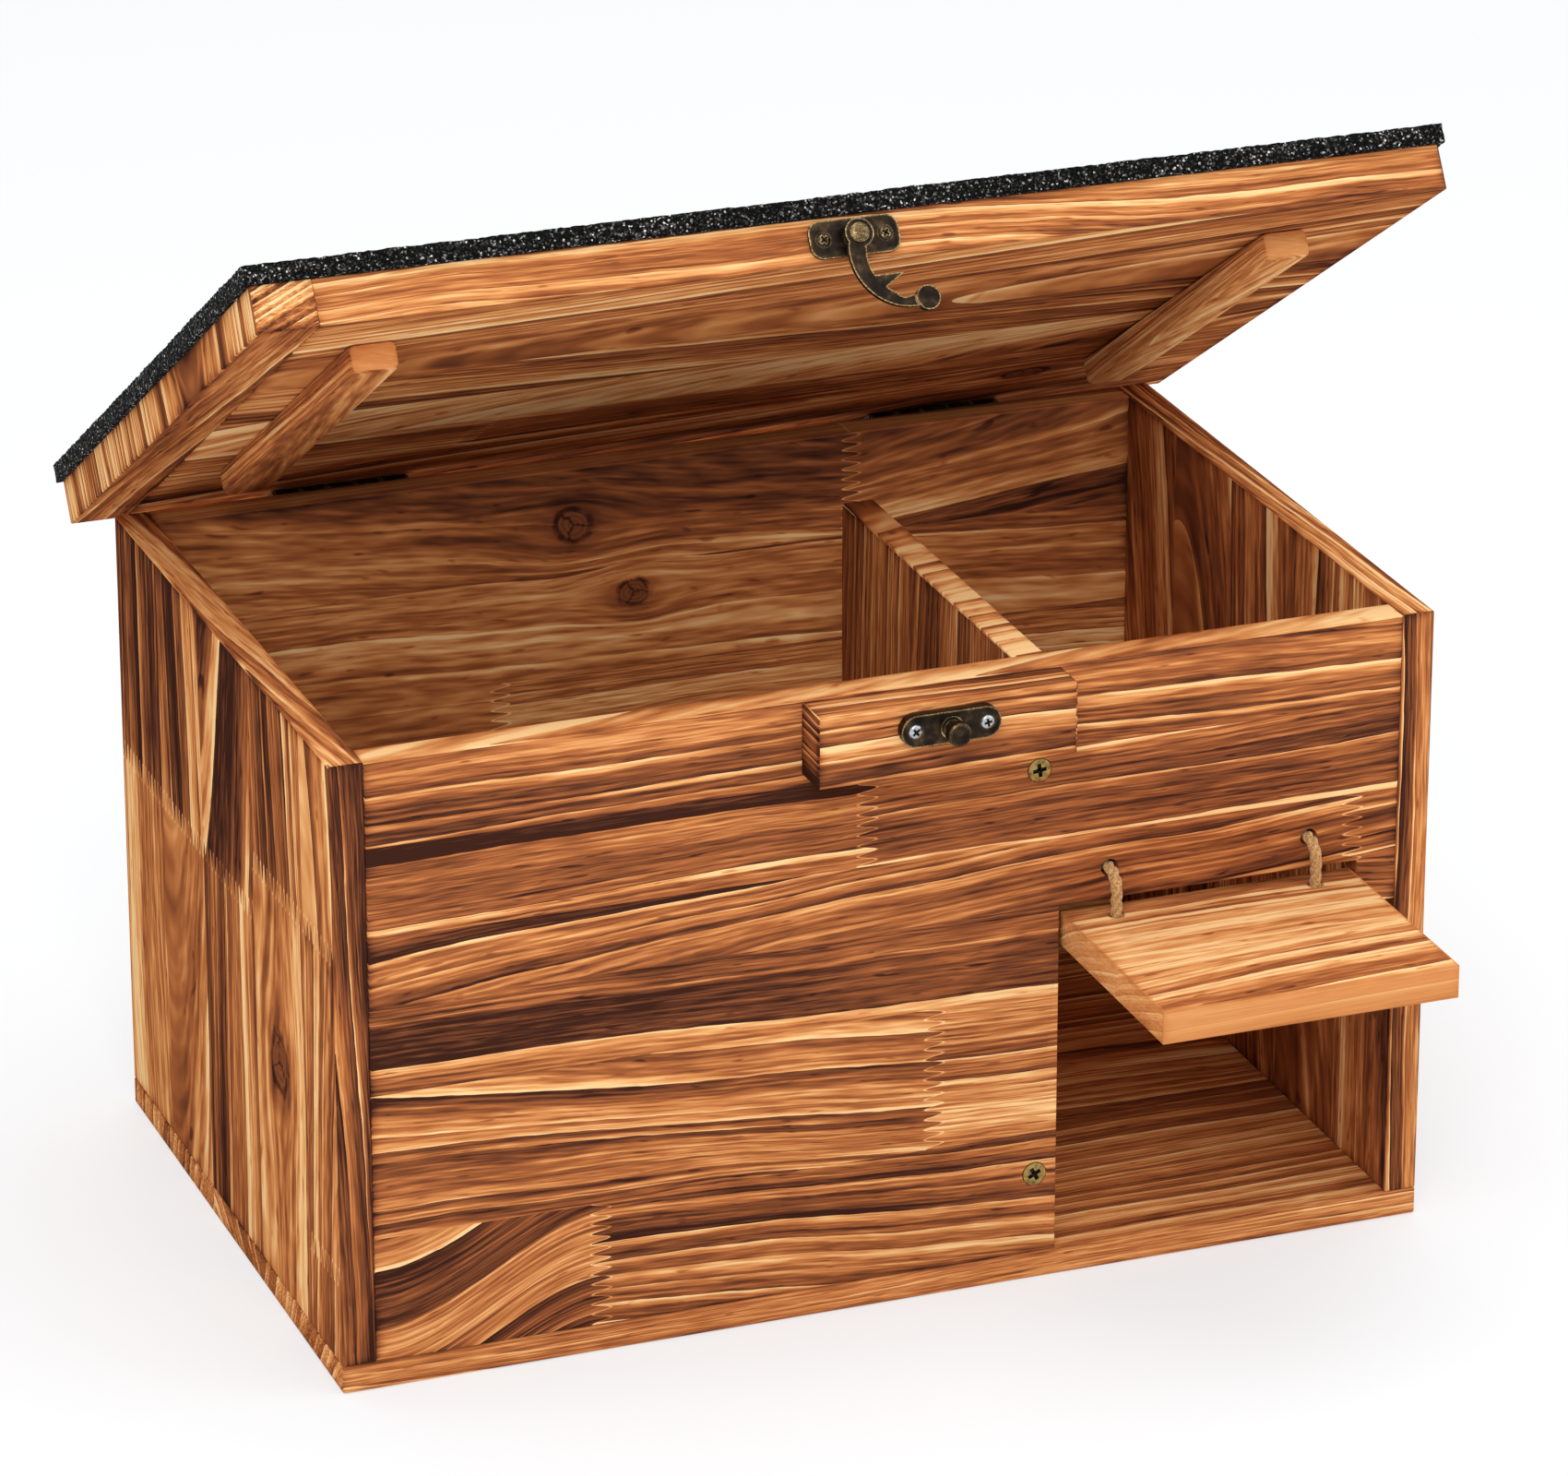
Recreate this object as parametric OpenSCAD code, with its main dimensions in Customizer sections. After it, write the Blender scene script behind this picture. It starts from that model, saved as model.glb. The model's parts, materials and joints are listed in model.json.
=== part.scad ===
// Wooden hedgehog house with a felted lid on rear hinges, a swing-hook catch and a rope-hung entrance flap.
// Millimetres. Origin at the middle of the base board's underside: +X right, +Y to the back, +Z up.
// The lid stands open and the flap is raised, as the house is shown.

/* [House] */
// Width over the outer faces of the side panels
house_w = 400; // [340:1:520]
// Depth from the front face to the back face
house_d = 252; // [220:1:340]
// Height of the walls above the base board
wall_h = 220; // [190:1:300]
// Thickness of the wall and divider panels
panel_t = 12; // [10:0.5:18]
// Thickness of the base board
base_t = 10; // [8:0.5:16]

/* [Doorway] */
// Width of the doorway, from its left edge to the right side panel
doorway_w = 127; // [110:1:160]
// Height of the doorway under the ear, above the base board
doorway_h = 114; // [90:1:130]
// Height of the notch over the doorway that the flap's edge sits in
notch_h = 16.5; // [15:0.5:20]
// Width of the ear left standing beside the flap
ear_w = 15; // [8:0.5:25]
// Height of the rope holes over the top of the notch
rope_hole_rise = 11.5; // [10:0.5:16]

/* [Divider] */
// Length of the divider, from the front panel towards the back
divider_l = 160; // [110:1:170]
// Step from the doorway's left edge to the face of the divider
divider_step = 2; // [0:0.5:6]
// Height of the upper divider screw under the top of the wall
divider_screw_drop = 38; // [25:1:60]
// Height of the lower divider screw over the base board
divider_screw_rise = 30; // [25:1:60]

/* [Flap] */
// Length of the flap, from its roped edge to its free edge
flap_l = 90; // [70:1:110]
// Thickness of the flap
flap_t = 12; // [10:0.5:14]
// Gap between the flap and each side of the notch
flap_gap = 1.5; // [1:0.25:4]
// Distance from the flap's roped edge to its rope holes
rope_edge = 9.5; // [8:0.5:12]
// Distance from the flap's ends to its rope holes
rope_inset = 17; // [12:0.5:30]
// Diameter of the rope
rope_d = 4.25; // [4:0.25:6]
// Gap round the rope in its holes
rope_gap = 0.9; // [0.5:0.1:1.5]
// Diameter of the stopper knots
knot_d = 10; // [9:0.5:13]

/* [Lid] */
// Thickness of the lid board
lid_t = 16; // [14:0.5:22]
// Overhang of the lid at each side
lid_side = 12; // [4:1:25]
// Overhang of the lid at the back, which the hinges hang from
lid_back = 16; // [15:1:25]
// Angle at which the lid stands open
lid_open = 32; // [0:1:90]
// Gap between the closed lid and the wall tops
lid_gap = 0.4; // [0.3:0.1:1]
// Thickness of the roofing felt
felt_t = 6.5; // [2:0.5:8]
// Overhang of the felt over the edges of the lid board
felt_over = 2; // [0:0.5:2.5]
// Width of the battens under the lid
batten_w = 17; // [12:1:25]
// Thickness of the battens
batten_t = 10; // [8:0.5:14]
// Gap between a closed batten and the side panel beside it
batten_gap = 15; // [3:1:30]
// Gap between a closed batten's front end and the front panel
batten_front = 6; // [3:1:20]
// Gap between a closed batten's rear end and the back panel
batten_back = 38; // [10:1:40]

/* [Catch] */
// Length of the wooden catch block
block_l = 94; // [80:1:130]
// Height of the catch block
block_h = 26; // [22:1:34]
// Thickness of the catch block, and overhang of the lid in front
block_t = 16; // [14:1:24]
// Distance of the block's middle to the right of the middle of the house
block_right = 13; // [0:0.5:20]
// Depth of the catch block's top under the wall tops
block_drop = 0.5; // [0:0.25:2]
// Length of the hook plate
hook_plate_l = 32; // [30:1:40]
// Height of the hook plate
hook_plate_h = 13; // [11:0.5:14]
// Thickness of the hook plate
hook_plate_t = 1.4; // [0.8:0.1:3]
// Radius of the corners of the hook plate
hook_plate_r = 4.5; // [2:0.5:5]
// Length of the catch plate
catch_plate_l = 36; // [32:1:44]
// Height of the catch plate
catch_plate_h = 11.5; // [10:0.5:13]
// Thickness of the catch plate
catch_plate_t = 4; // [3:0.25:6]
// Distance of the rivet to the left of the middle of the lid
rivet_left = 4; // [0:0.5:10]
// Distance of the catch stud to the right of the rivet
stud_right = 16.4; // [14:0.1:18]
// Distance of the catch stud below the rivet, with the lid closed
stud_below = 17; // [16:0.1:20]
// Diameter of the neck of the catch stud
neck_d = 5.2; // [4:0.1:6]
// Diameter of the head of the catch stud
stud_head_d = 8.4; // [7.5:0.1:9]
// Thickness of the head of the catch stud
stud_head_t = 4; // [3:0.25:5]
// Diameter of the rivet that the hook swings on
rivet_d = 4; // [3:0.1:5]
// Diameter of the eye of the hook
eye_d = 10; // [8.5:0.25:11]
// Width of the arm of the hook
arm_w = 4.6; // [4:0.1:5]
// Thickness of the hook
hook_t = 2; // [1.6:0.1:2.5]
// Gap between the latched hook and the catch plate behind it
hook_gap = 0.8; // [0.5:0.1:1.5]
// Diameter of the thumb disc of the hook
thumb_d = 8.4; // [7.5:0.1:9]

/* [Hinges] */
// Length of each hinge
hinge_l = 50; // [40:1:80]
// Distance from the side of the house to the outer end of a hinge
hinge_inset = 60; // [30:1:90]
// Width of each hinge leaf, from the pin
leaf_w = 12; // [11:0.5:12]
// Thickness of a hinge leaf
leaf_t = 1.2; // [1:0.1:1.6]
// Outer diameter of the hinge knuckles
knuckle_d = 5; // [4.6:0.1:6]
// Diameter of the hinge pins
pin_d = 2.4; // [2:0.1:3]

/* [Fasteners] */
// Diameter of the panel screws
screw_d = 4; // [3.5:0.25:4.5]
// Head diameter of the panel screws
screw_head_d = 8.5; // [7.5:0.25:9]
// Length of the panel screws
screw_l = 30; // [25:1:32]
// Diameter of the fitting screws
small_screw_d = 2.5; // [2:0.25:3]
// Head diameter of the fitting screws
small_head_d = 5; // [4.5:0.25:5.5]
// Length of the fitting screws
small_screw_l = 10; // [8:0.5:10]
// Diameter of the corner dowels
dowel_d = 6; // [5:0.5:6.5]
// Length of the corner dowels
dowel_l = 24; // [20:1:28]

/* [Hidden] */
$fn = 64;

// Named clearances
fit = 0.05;
moving_gap = 0.4;
cut = 1;
// Length by which the runs of a rope reach into its bend, and growth of the rope in the bend
lap = 0.3;
rope_swell = 0.2;

// Planes of the house
front_y = -house_d / 2;
back_y = house_d / 2;
inner_front_y = front_y + panel_t;
inner_back_y = back_y - panel_t;
inner_x = house_w / 2 - panel_t;
wall_z = base_t + wall_h;

// Doorway
door_x = inner_x - doorway_w;
ear_x = inner_x - ear_w;
ear_z = base_t + doorway_h;
notch_z = ear_z + notch_h;
divider_x = door_x - divider_step - panel_t;

// Flap, whose axis runs through its rope holes in the middle of its thickness
flap_x = door_x + flap_gap;
flap_w = ear_x - door_x - 2 * flap_gap;
flap_axis_y = front_y - flap_t / 2 - moving_gap;
flap_corner = norm([rope_edge, flap_t / 2]);
flap_axis_z = notch_z - moving_gap - sqrt(flap_corner ^ 2 - (front_y - flap_axis_y) ^ 2);
flap_low_z = flap_axis_z - flap_t / 2;
rope_z = notch_z + rope_hole_rise;
rope_hole_d = rope_d + 2 * rope_gap;
rope_bend = front_y - flap_axis_y;
knot_stand = sqrt((knot_d / 2) ^ 2 - (rope_hole_d / 2) ^ 2) + 0.2;
rope_xs = [flap_x + rope_inset, flap_x + flap_w - rope_inset];

// Hinges and lid, placed as with the lid closed
hinge_y = back_y + knuckle_d / 2;
lid_z = wall_z + lid_gap;
hinge_z = lid_z - knuckle_d / 2;
lid_w = house_w + 2 * lid_side;
lid_front_y = front_y - block_t;
lid_d = back_y + lid_back - lid_front_y;
lid_mid_z = lid_z + lid_t / 2;
batten_x = inner_x - batten_gap - batten_w / 2;
batten_y = inner_front_y + batten_front;
batten_l = inner_back_y - batten_back - batten_y;
knuckles = 5;
knuckle_l = hinge_l / knuckles;
hinge_x = house_w / 2 - hinge_inset - hinge_l / 2;
leaf_screw_x = hinge_l / 2 - knuckle_l * 0.8;
leaf_screw_out = leaf_w * 0.6;
pin_head_t = 0.8;

// Catch
block_z = wall_z - block_drop - block_h;
rivet_x = -rivet_left;
stud_x = rivet_x + stud_right;
stud_z = lid_mid_z - stud_below;
stud_reach = norm([stud_right, stud_below]);
stud_shank_d = 3;
stud_shank_l = block_t / 2;
hook_plate_y = lid_front_y - hook_plate_t;
catch_plate_y = lid_front_y - catch_plate_t;
hook_y = catch_plate_y - hook_gap;
thumb_t = hook_t + 0.6;
neck_l = 2 * hook_gap + thumb_t;
collar_t = hook_gap / 2;
hook_screw_x = hook_plate_l / 2 - small_head_d;
catch_screw_x = catch_plate_l / 2 - small_head_d;
screw_raise = 0.6;
screw_sunk = 0.2;
block_screw_l = panel_t + block_t * 0.6;
batten_screw_l = lid_t + batten_t * 0.6;
// Steps of the rivet's collar in from the eye, and of its head out from its shank
collar_step = 1;
rivet_lip = 1.4;
// Wood left over the end of a dowel
dowel_cover = 4;

// Hook outline, from the rivet, with the hook at the angle shown; angles are from straight down
function polar(r, angle) = r * [sin(angle), -cos(angle)];
thumb_angle = 38.3;
barb_angle = 40.7;
pocket_angle = 30;
// Clearances of the thumb disc and the barb from the stud's neck as the hook swings past it
thumb_clear = 1;
barb_clear = 1.2;
thumb_r = stud_reach + (neck_d + thumb_d) / 2 + thumb_clear;
barb_r = stud_reach - neck_d / 2 - barb_clear;
// The arm is an arc from the rivet to the thumb disc, bowed by this shift of its centre from their middle
arm_shift = 7.1;
arm_middle = polar(thumb_r / 2, thumb_angle) + arm_shift * [cos(thumb_angle), sin(thumb_angle)];
thumb_middle = polar(thumb_r, thumb_angle);
arm_r = norm(arm_middle);
arm_start = atan2(-arm_middle.y, -arm_middle.x);
arm_sweep = 360 + atan2(thumb_middle.y - arm_middle.y, thumb_middle.x - arm_middle.x) - arm_start;
function arm_point(share) =
    arm_middle + arm_r * [cos(arm_start + share * arm_sweep), sin(arm_start + share * arm_sweep)];
barb = [arm_point(0.4), polar(barb_r, barb_angle), arm_point(0.57)];

// Places along the panels
side_screw_ys = [for (s = [-1, 0, 1]) s * house_d * 0.34];
front_screw_xs = [for (s = [0.3, 0.85]) -inner_x + s * (divider_x + inner_x)];
back_screw_xs = [for (s = [-1, 0, 1]) s * inner_x * 0.65];
divider_screw_ys = [for (s = [0.35, 0.8]) inner_front_y + s * divider_l];
divider_screw_zs = [wall_z - divider_screw_drop, base_t + divider_screw_rise];
wall_dowel_zs = [for (s = [0.25, 0.55, 0.88]) base_t + s * wall_h];
ear_dowel_zs = [notch_z + 2 * dowel_d, wall_z - 4 * dowel_d];
block_screw_xs = [for (s = [-1, 1]) block_right + s * block_l * 0.28];

// Turns what is drawn on the closed lid to the angle at which the lid stands open
module on_lid() {
    translate([0, hinge_y, hinge_z]) rotate([-lid_open, 0, 0]) translate([0, -hinge_y, -hinge_z]) children();
}

// Turns a piece drawn along -Z so that its head faces front, back or down
module facing_front() { rotate([90, 0, 0]) children(); }
module facing_back() { rotate([-90, 0, 0]) children(); }
module facing_down() { rotate([180, 0, 0]) children(); }

// Outline of a countersunk screw, from the middle of its head's face down its axis
function screw_outline(d, head_d, l, raise, grow) = [
    [0, raise + grow], [head_d / 2 - raise / 2 + grow, raise + grow], [head_d / 2 + grow, 0],
    [d / 2 + grow, -(head_d - d) / 2], [d / 2 + grow, -l + d], [0, -l - grow]
];

module screw(d, head_d, l, raise = 0) {
    slot_l = head_d * 0.62;
    slot_w = head_d * 0.17;
    slot_h = head_d * 0.22;
    difference() {
        rotate_extrude() polygon(screw_outline(d, head_d, l, raise, 0));
        for (turn = [0, 90])
            rotate([0, 0, turn])
                translate([-slot_l / 2, -slot_w / 2, raise - slot_h]) cube([slot_l, slot_w, slot_h + cut]);
    }
}

module screw_hole(d, head_d, l) {
    rotate_extrude() polygon(screw_outline(d, head_d, l, 0, fit));
    cylinder(d = head_d + 2 * fit, h = cut);
}

module panel_screw() { screw(screw_d, screw_head_d, screw_l); }
module panel_screw_hole() { screw_hole(screw_d, screw_head_d, screw_l); }
module small_screw(raise = 0) { screw(small_screw_d, small_head_d, small_screw_l, raise); }
module small_screw_hole() { screw_hole(small_screw_d, small_head_d, small_screw_l); }

// Where the screws and dowels go
module at_base_screws() {
    for (side = [-1, 1], y = side_screw_ys)
        translate([side * (house_w - panel_t) / 2, y, screw_sunk]) facing_down() children();
    for (x = front_screw_xs) translate([x, front_y + panel_t / 2, screw_sunk]) facing_down() children();
    for (x = back_screw_xs) translate([x, back_y - panel_t / 2, screw_sunk]) facing_down() children();
}

module at_divider_base_screws() {
    for (y = divider_screw_ys) translate([divider_x + panel_t / 2, y, screw_sunk]) facing_down() children();
}

module at_divider_front_screws() {
    for (z = divider_screw_zs) translate([divider_x + panel_t / 2, front_y, z]) facing_front() children();
}

module at_block_screws() {
    for (x = block_screw_xs) translate([x, inner_front_y, block_z + block_h / 2]) facing_back() children();
}

module at_catch_screws() {
    for (side = [-1, 1])
        translate([stud_x + side * catch_screw_x, catch_plate_y, stud_z]) facing_front() children();
}

module at_stud() { translate([stud_x, catch_plate_y, stud_z]) facing_front() children(); }

module at_hook_screws() {
    for (side = [-1, 1])
        translate([rivet_x + side * hook_screw_x, hook_plate_y, lid_mid_z]) facing_front() children();
}

module at_leaf_ends() {
    for (hinge = [-1, 1], end = [-1, 1])
        translate([hinge * hinge_x + end * leaf_screw_x, 0, 0]) children();
}

module at_body_leaf_screws() {
    at_leaf_ends() translate([0, back_y + leaf_t, hinge_z - leaf_screw_out]) facing_back() children();
}

module at_lid_leaf_screws() {
    at_leaf_ends() translate([0, hinge_y + leaf_screw_out, lid_z - leaf_t]) facing_down() children();
}

// Down through the lid board into the battens, with the heads under the felt
module at_batten_screws() {
    for (side = [-1, 1], along = [0.15, 0.85])
        translate([side * batten_x, batten_y + along * batten_l, lid_z + lid_t - screw_sunk]) children();
}

module at_dowels(y, left_zs, right_zs) {
    side_depth = panel_t - dowel_cover;
    for (z = left_zs) translate([-inner_x - side_depth, y, z]) rotate([0, 90, 0]) children();
    for (z = right_zs) translate([inner_x + side_depth, y, z]) rotate([0, -90, 0]) children();
}

module at_front_dowels() { at_dowels(front_y + panel_t / 2, wall_dowel_zs, ear_dowel_zs) children(); }
module at_back_dowels() { at_dowels(back_y - panel_t / 2, wall_dowel_zs, wall_dowel_zs) children(); }

module dowel() {
    chamfer = 0.8;
    r = dowel_d / 2;
    rotate_extrude() polygon([
        [0, 0], [r - chamfer, 0], [r, chamfer], [r, dowel_l - chamfer], [r - chamfer, dowel_l], [0, dowel_l]
    ]);
}

module dowel_hole() { translate([0, 0, -fit]) cylinder(d = dowel_d + 2 * fit, h = dowel_l + 2 * fit); }

// Boards of the house
module base_board() {
    color("#a9743f") difference() {
        translate([-house_w / 2, front_y, 0]) cube([house_w, house_d, base_t]);
        at_base_screws() panel_screw_hole();
        at_divider_base_screws() panel_screw_hole();
    }
}

module side_panel(side) {
    color("#8a5028") difference() {
        translate([side * (house_w - panel_t) / 2 - panel_t / 2, front_y, base_t])
            cube([panel_t, house_d, wall_h]);
        at_base_screws() panel_screw_hole();
        at_front_dowels() dowel_hole();
        at_back_dowels() dowel_hole();
    }
}

module left_side_panel() { side_panel(-1); }
module right_side_panel() { side_panel(1); }

module front_panel() {
    through = panel_t + 2 * cut;
    color("#9a5c2e") difference() {
        translate([-inner_x, front_y, base_t]) cube([2 * inner_x, panel_t, wall_h]);
        translate([door_x, front_y - cut, base_t - cut]) cube([doorway_w + cut, through, doorway_h + cut]);
        translate([door_x, front_y - cut, base_t]) cube([ear_x - door_x, through, doorway_h + notch_h]);
        for (x = rope_xs)
            translate([x, front_y - cut, rope_z]) rotate([-90, 0, 0]) cylinder(d = rope_hole_d, h = through);
        at_base_screws() panel_screw_hole();
        at_divider_front_screws() panel_screw_hole();
        at_block_screws() block_screw_hole();
        at_front_dowels() dowel_hole();
    }
}

module back_panel() {
    color("#8f5429") difference() {
        translate([-inner_x, inner_back_y, base_t]) cube([2 * inner_x, panel_t, wall_h]);
        at_base_screws() panel_screw_hole();
        at_body_leaf_screws() small_screw_hole();
        at_back_dowels() dowel_hole();
    }
}

module divider_panel() {
    color("#7d4623") difference() {
        translate([divider_x, inner_front_y, base_t]) cube([panel_t, divider_l, wall_h]);
        at_divider_base_screws() panel_screw_hole();
        at_divider_front_screws() panel_screw_hole();
    }
}

module base_screws() { color("#b8b8b4") at_base_screws() panel_screw(); }
module divider_front_screws() { color("#c9a24b") at_divider_front_screws() panel_screw(); }
module divider_base_screws() { color("#b8b8b4") at_divider_base_screws() panel_screw(); }
module front_dowels() { color("#d9b27c") at_front_dowels() dowel(); }
module back_dowels() { color("#d9b27c") at_back_dowels() dowel(); }

// Catch on the front of the house
module block_screw_hole() { screw_hole(screw_d, screw_head_d, block_screw_l); }

module catch_block() {
    color("#a5652f") difference() {
        translate([block_right - block_l / 2, lid_front_y, block_z]) cube([block_l, block_t, block_h]);
        at_block_screws() block_screw_hole();
        at_catch_screws() small_screw_hole();
        at_stud() stud_hole();
    }
}

module block_screws() { color("#b8b8b4") at_block_screws() screw(screw_d, screw_head_d, block_screw_l); }

// Flat plate with rounded corners, drawn on the XY plane and rising along +Z
module rounded_plate(l, h, t, r) {
    linear_extrude(t) {
        square([l - 2 * r, h], center = true);
        if (h > 2 * r) square([l, h - 2 * r], center = true);
        for (x = [-1, 1], y = [-1, 1]) translate([x * (l / 2 - r), y * (h / 2 - r)]) circle(r = r);
    }
}

module catch_plate() {
    color("#4a3a26") difference() {
        translate([stud_x, lid_front_y, stud_z]) facing_front()
            rounded_plate(catch_plate_l, catch_plate_h, catch_plate_t, catch_plate_h / 2);
        at_catch_screws() small_screw_hole();
        at_stud() stud_hole();
    }
}

module stud_hole() {
    translate([0, 0, -stud_shank_l - fit]) cylinder(d = stud_shank_d + 2 * fit, h = stud_shank_l + cut);
}

module catch_stud() {
    round_over = 1;
    head_r = stud_head_d / 2;
    shank_r = stud_shank_d / 2;
    neck_r = neck_d / 2;
    top_z = neck_l + stud_head_t;
    color("#4a3a26") at_stud() rotate_extrude() polygon([
        [0, -stud_shank_l], [shank_r, -stud_shank_l], [shank_r, 0], [head_r, 0], [head_r, collar_t],
        [neck_r, collar_t], [neck_r, neck_l], [head_r, neck_l], [head_r, top_z - round_over],
        [head_r - round_over, top_z], [0, top_z]
    ]);
}

module catch_plate_screws() { color("#c4c6c8") at_catch_screws() small_screw(screw_raise); }

// Butt hinges across the back of the house, drawn about the pin's middle at the origin.
// One leaf hangs down on the back panel, the other lies back under the overhang of the lid.
module knuckle_row(first, grow, d) {
    for (i = [first : 2 : knuckles - 1])
        translate([-hinge_l / 2 + i * knuckle_l + fit - grow, 0, 0])
            rotate([0, 90, 0]) cylinder(d = d, h = knuckle_l - 2 * fit + 2 * grow);
}

// A leaf with its odd or even knuckles; its plate's lowest corner is at y and z from the pin
module hinge_leaf(first, depth, height, y, z) {
    clear = 0.25;
    difference() {
        union() {
            translate([-hinge_l / 2 + fit, y, z]) cube([hinge_l - 2 * fit, depth, height]);
            knuckle_row(first, 0, knuckle_d);
        }
        knuckle_row(1 - first, clear, knuckle_d + 2 * clear);
        translate([-hinge_l / 2 - cut, 0, 0]) rotate([0, 90, 0])
            cylinder(d = pin_d + 2 * fit, h = hinge_l + 2 * cut);
    }
}

module body_leaf(side) {
    color("#4a3a26") difference() {
        translate([side * hinge_x, hinge_y, hinge_z])
            hinge_leaf(0, leaf_t, leaf_w, -knuckle_d / 2, -leaf_w);
        at_body_leaf_screws() small_screw_hole();
    }
}

module lid_leaf(side) {
    color("#4a3a26") on_lid() difference() {
        translate([side * hinge_x, hinge_y, hinge_z])
            hinge_leaf(1, leaf_w, leaf_t, 0, knuckle_d / 2 - leaf_t);
        at_lid_leaf_screws() small_screw_hole();
    }
}

module hinge_pin(side) {
    r = pin_d / 2;
    head_r = knuckle_d / 2 - 0.4;
    end_x = side * hinge_x - hinge_l / 2 - pin_head_t;
    color("#5a4a34") translate([end_x, hinge_y, hinge_z]) rotate([0, 90, 0])
        rotate_extrude() polygon([
            [0, 0], [head_r, 0], [head_r, pin_head_t], [r, pin_head_t], [r, pin_head_t + hinge_l],
            [head_r, pin_head_t + hinge_l], [head_r, 2 * pin_head_t + hinge_l], [0, 2 * pin_head_t + hinge_l]
        ]);
}

module left_hinge_body_leaf() { body_leaf(-1); }
module right_hinge_body_leaf() { body_leaf(1); }
module left_hinge_pin() { hinge_pin(-1); }
module right_hinge_pin() { hinge_pin(1); }
module left_hinge_lid_leaf() { lid_leaf(-1); }
module right_hinge_lid_leaf() { lid_leaf(1); }
module hinge_body_screws() { color("#5a4a34") at_body_leaf_screws() small_screw(); }
module hinge_lid_screws() { color("#5a4a34") on_lid() at_lid_leaf_screws() small_screw(); }

// Entrance flap and the rope ties that it swings on
module entrance_flap() {
    color("#b87a3d") difference() {
        translate([flap_x, flap_axis_y + rope_edge - flap_l, flap_low_z]) cube([flap_w, flap_l, flap_t]);
        for (x = rope_xs)
            translate([x, flap_axis_y, flap_low_z - cut]) cylinder(d = rope_hole_d, h = flap_t + 2 * cut);
    }
}

// From a knot behind the front panel, out through it, down through the flap, to a knot under the flap
module rope_tie(x) {
    back_knot_y = inner_front_y + knot_stand;
    low_knot_z = flap_low_z - knot_stand;
    panel_run = back_knot_y - front_y + lap;
    flap_run = rope_z - rope_bend - low_knot_z + lap;
    color("#c8a46c") translate([x, 0, 0]) {
        translate([0, back_knot_y, rope_z]) sphere(d = knot_d);
        translate([0, front_y - lap, rope_z]) rotate([-90, 0, 0]) cylinder(d = rope_d, h = panel_run);
        translate([0, front_y, rope_z - rope_bend]) rotate([90, 0, -90]) rotate_extrude(angle = 90)
            translate([rope_bend, 0]) circle(d = rope_d + rope_swell);
        translate([0, flap_axis_y, low_knot_z]) cylinder(d = rope_d, h = flap_run);
        translate([0, flap_axis_y, low_knot_z]) sphere(d = knot_d);
    }
}

module left_rope_tie() { rope_tie(rope_xs[0]); }
module right_rope_tie() { rope_tie(rope_xs[1]); }

// Lid
module lid_board() {
    color("#9a5c2e") on_lid() difference() {
        translate([-lid_w / 2, lid_front_y, lid_z]) cube([lid_w, lid_d, lid_t]);
        at_lid_leaf_screws() small_screw_hole();
        at_hook_screws() small_screw_hole();
        at_batten_screws() batten_screw_hole();
    }
}

module roof_felt() {
    color("#2b2b2d") on_lid() translate([-lid_w / 2 - felt_over, lid_front_y - felt_over, lid_z + lid_t])
        cube([lid_w + 2 * felt_over, lid_d + 2 * felt_over, felt_t]);
}

module batten_screw_hole() { screw_hole(screw_d, screw_head_d, batten_screw_l); }

module lid_batten(side) {
    color("#c08a4e") on_lid() difference() {
        translate([side * batten_x - batten_w / 2, batten_y, lid_z - batten_t])
            cube([batten_w, batten_l, batten_t]);
        at_batten_screws() batten_screw_hole();
    }
}

module left_lid_batten() { lid_batten(-1); }
module right_lid_batten() { lid_batten(1); }
module batten_screws() {
    color("#b8b8b4") on_lid() at_batten_screws() screw(screw_d, screw_head_d, batten_screw_l);
}

// Swing hook on the front edge of the lid
module hook_plate() {
    color("#4a3a26") on_lid() difference() {
        translate([rivet_x, lid_front_y, lid_mid_z]) facing_front()
            rounded_plate(hook_plate_l, hook_plate_h, hook_plate_t, hook_plate_r);
        at_hook_screws() small_screw_hole();
        translate([rivet_x, lid_front_y + cut, lid_mid_z]) facing_front()
            cylinder(d = rivet_d + 2 * fit, h = hook_plate_t + 2 * cut);
    }
}

// The rivet's tail is closed flush in the plate, and its collar carries the hook clear of the plate
module hook_rivet() {
    r = rivet_d / 2;
    collar_r = eye_d / 2 - collar_step;
    head_r = r + rivet_lip;
    round_over = 0.8;
    collar_z = lid_front_y - hook_y - fit;
    head_z = lid_front_y - hook_y + hook_t + fit;
    rim_z = head_z + 0.4;
    top_z = rim_z + round_over;
    color("#6a5430") on_lid() translate([rivet_x, lid_front_y, lid_mid_z]) facing_front()
        rotate_extrude() polygon([
            [0, 0], [r, 0], [r, hook_plate_t], [collar_r, hook_plate_t], [collar_r, collar_z], [r, collar_z],
            [r, head_z], [head_r, head_z], [head_r, rim_z], [head_r - round_over, top_z], [0, top_z]
        ]);
}

module hook_plate_screws() { color("#5a4a34") on_lid() at_hook_screws() small_screw(screw_raise); }

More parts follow.
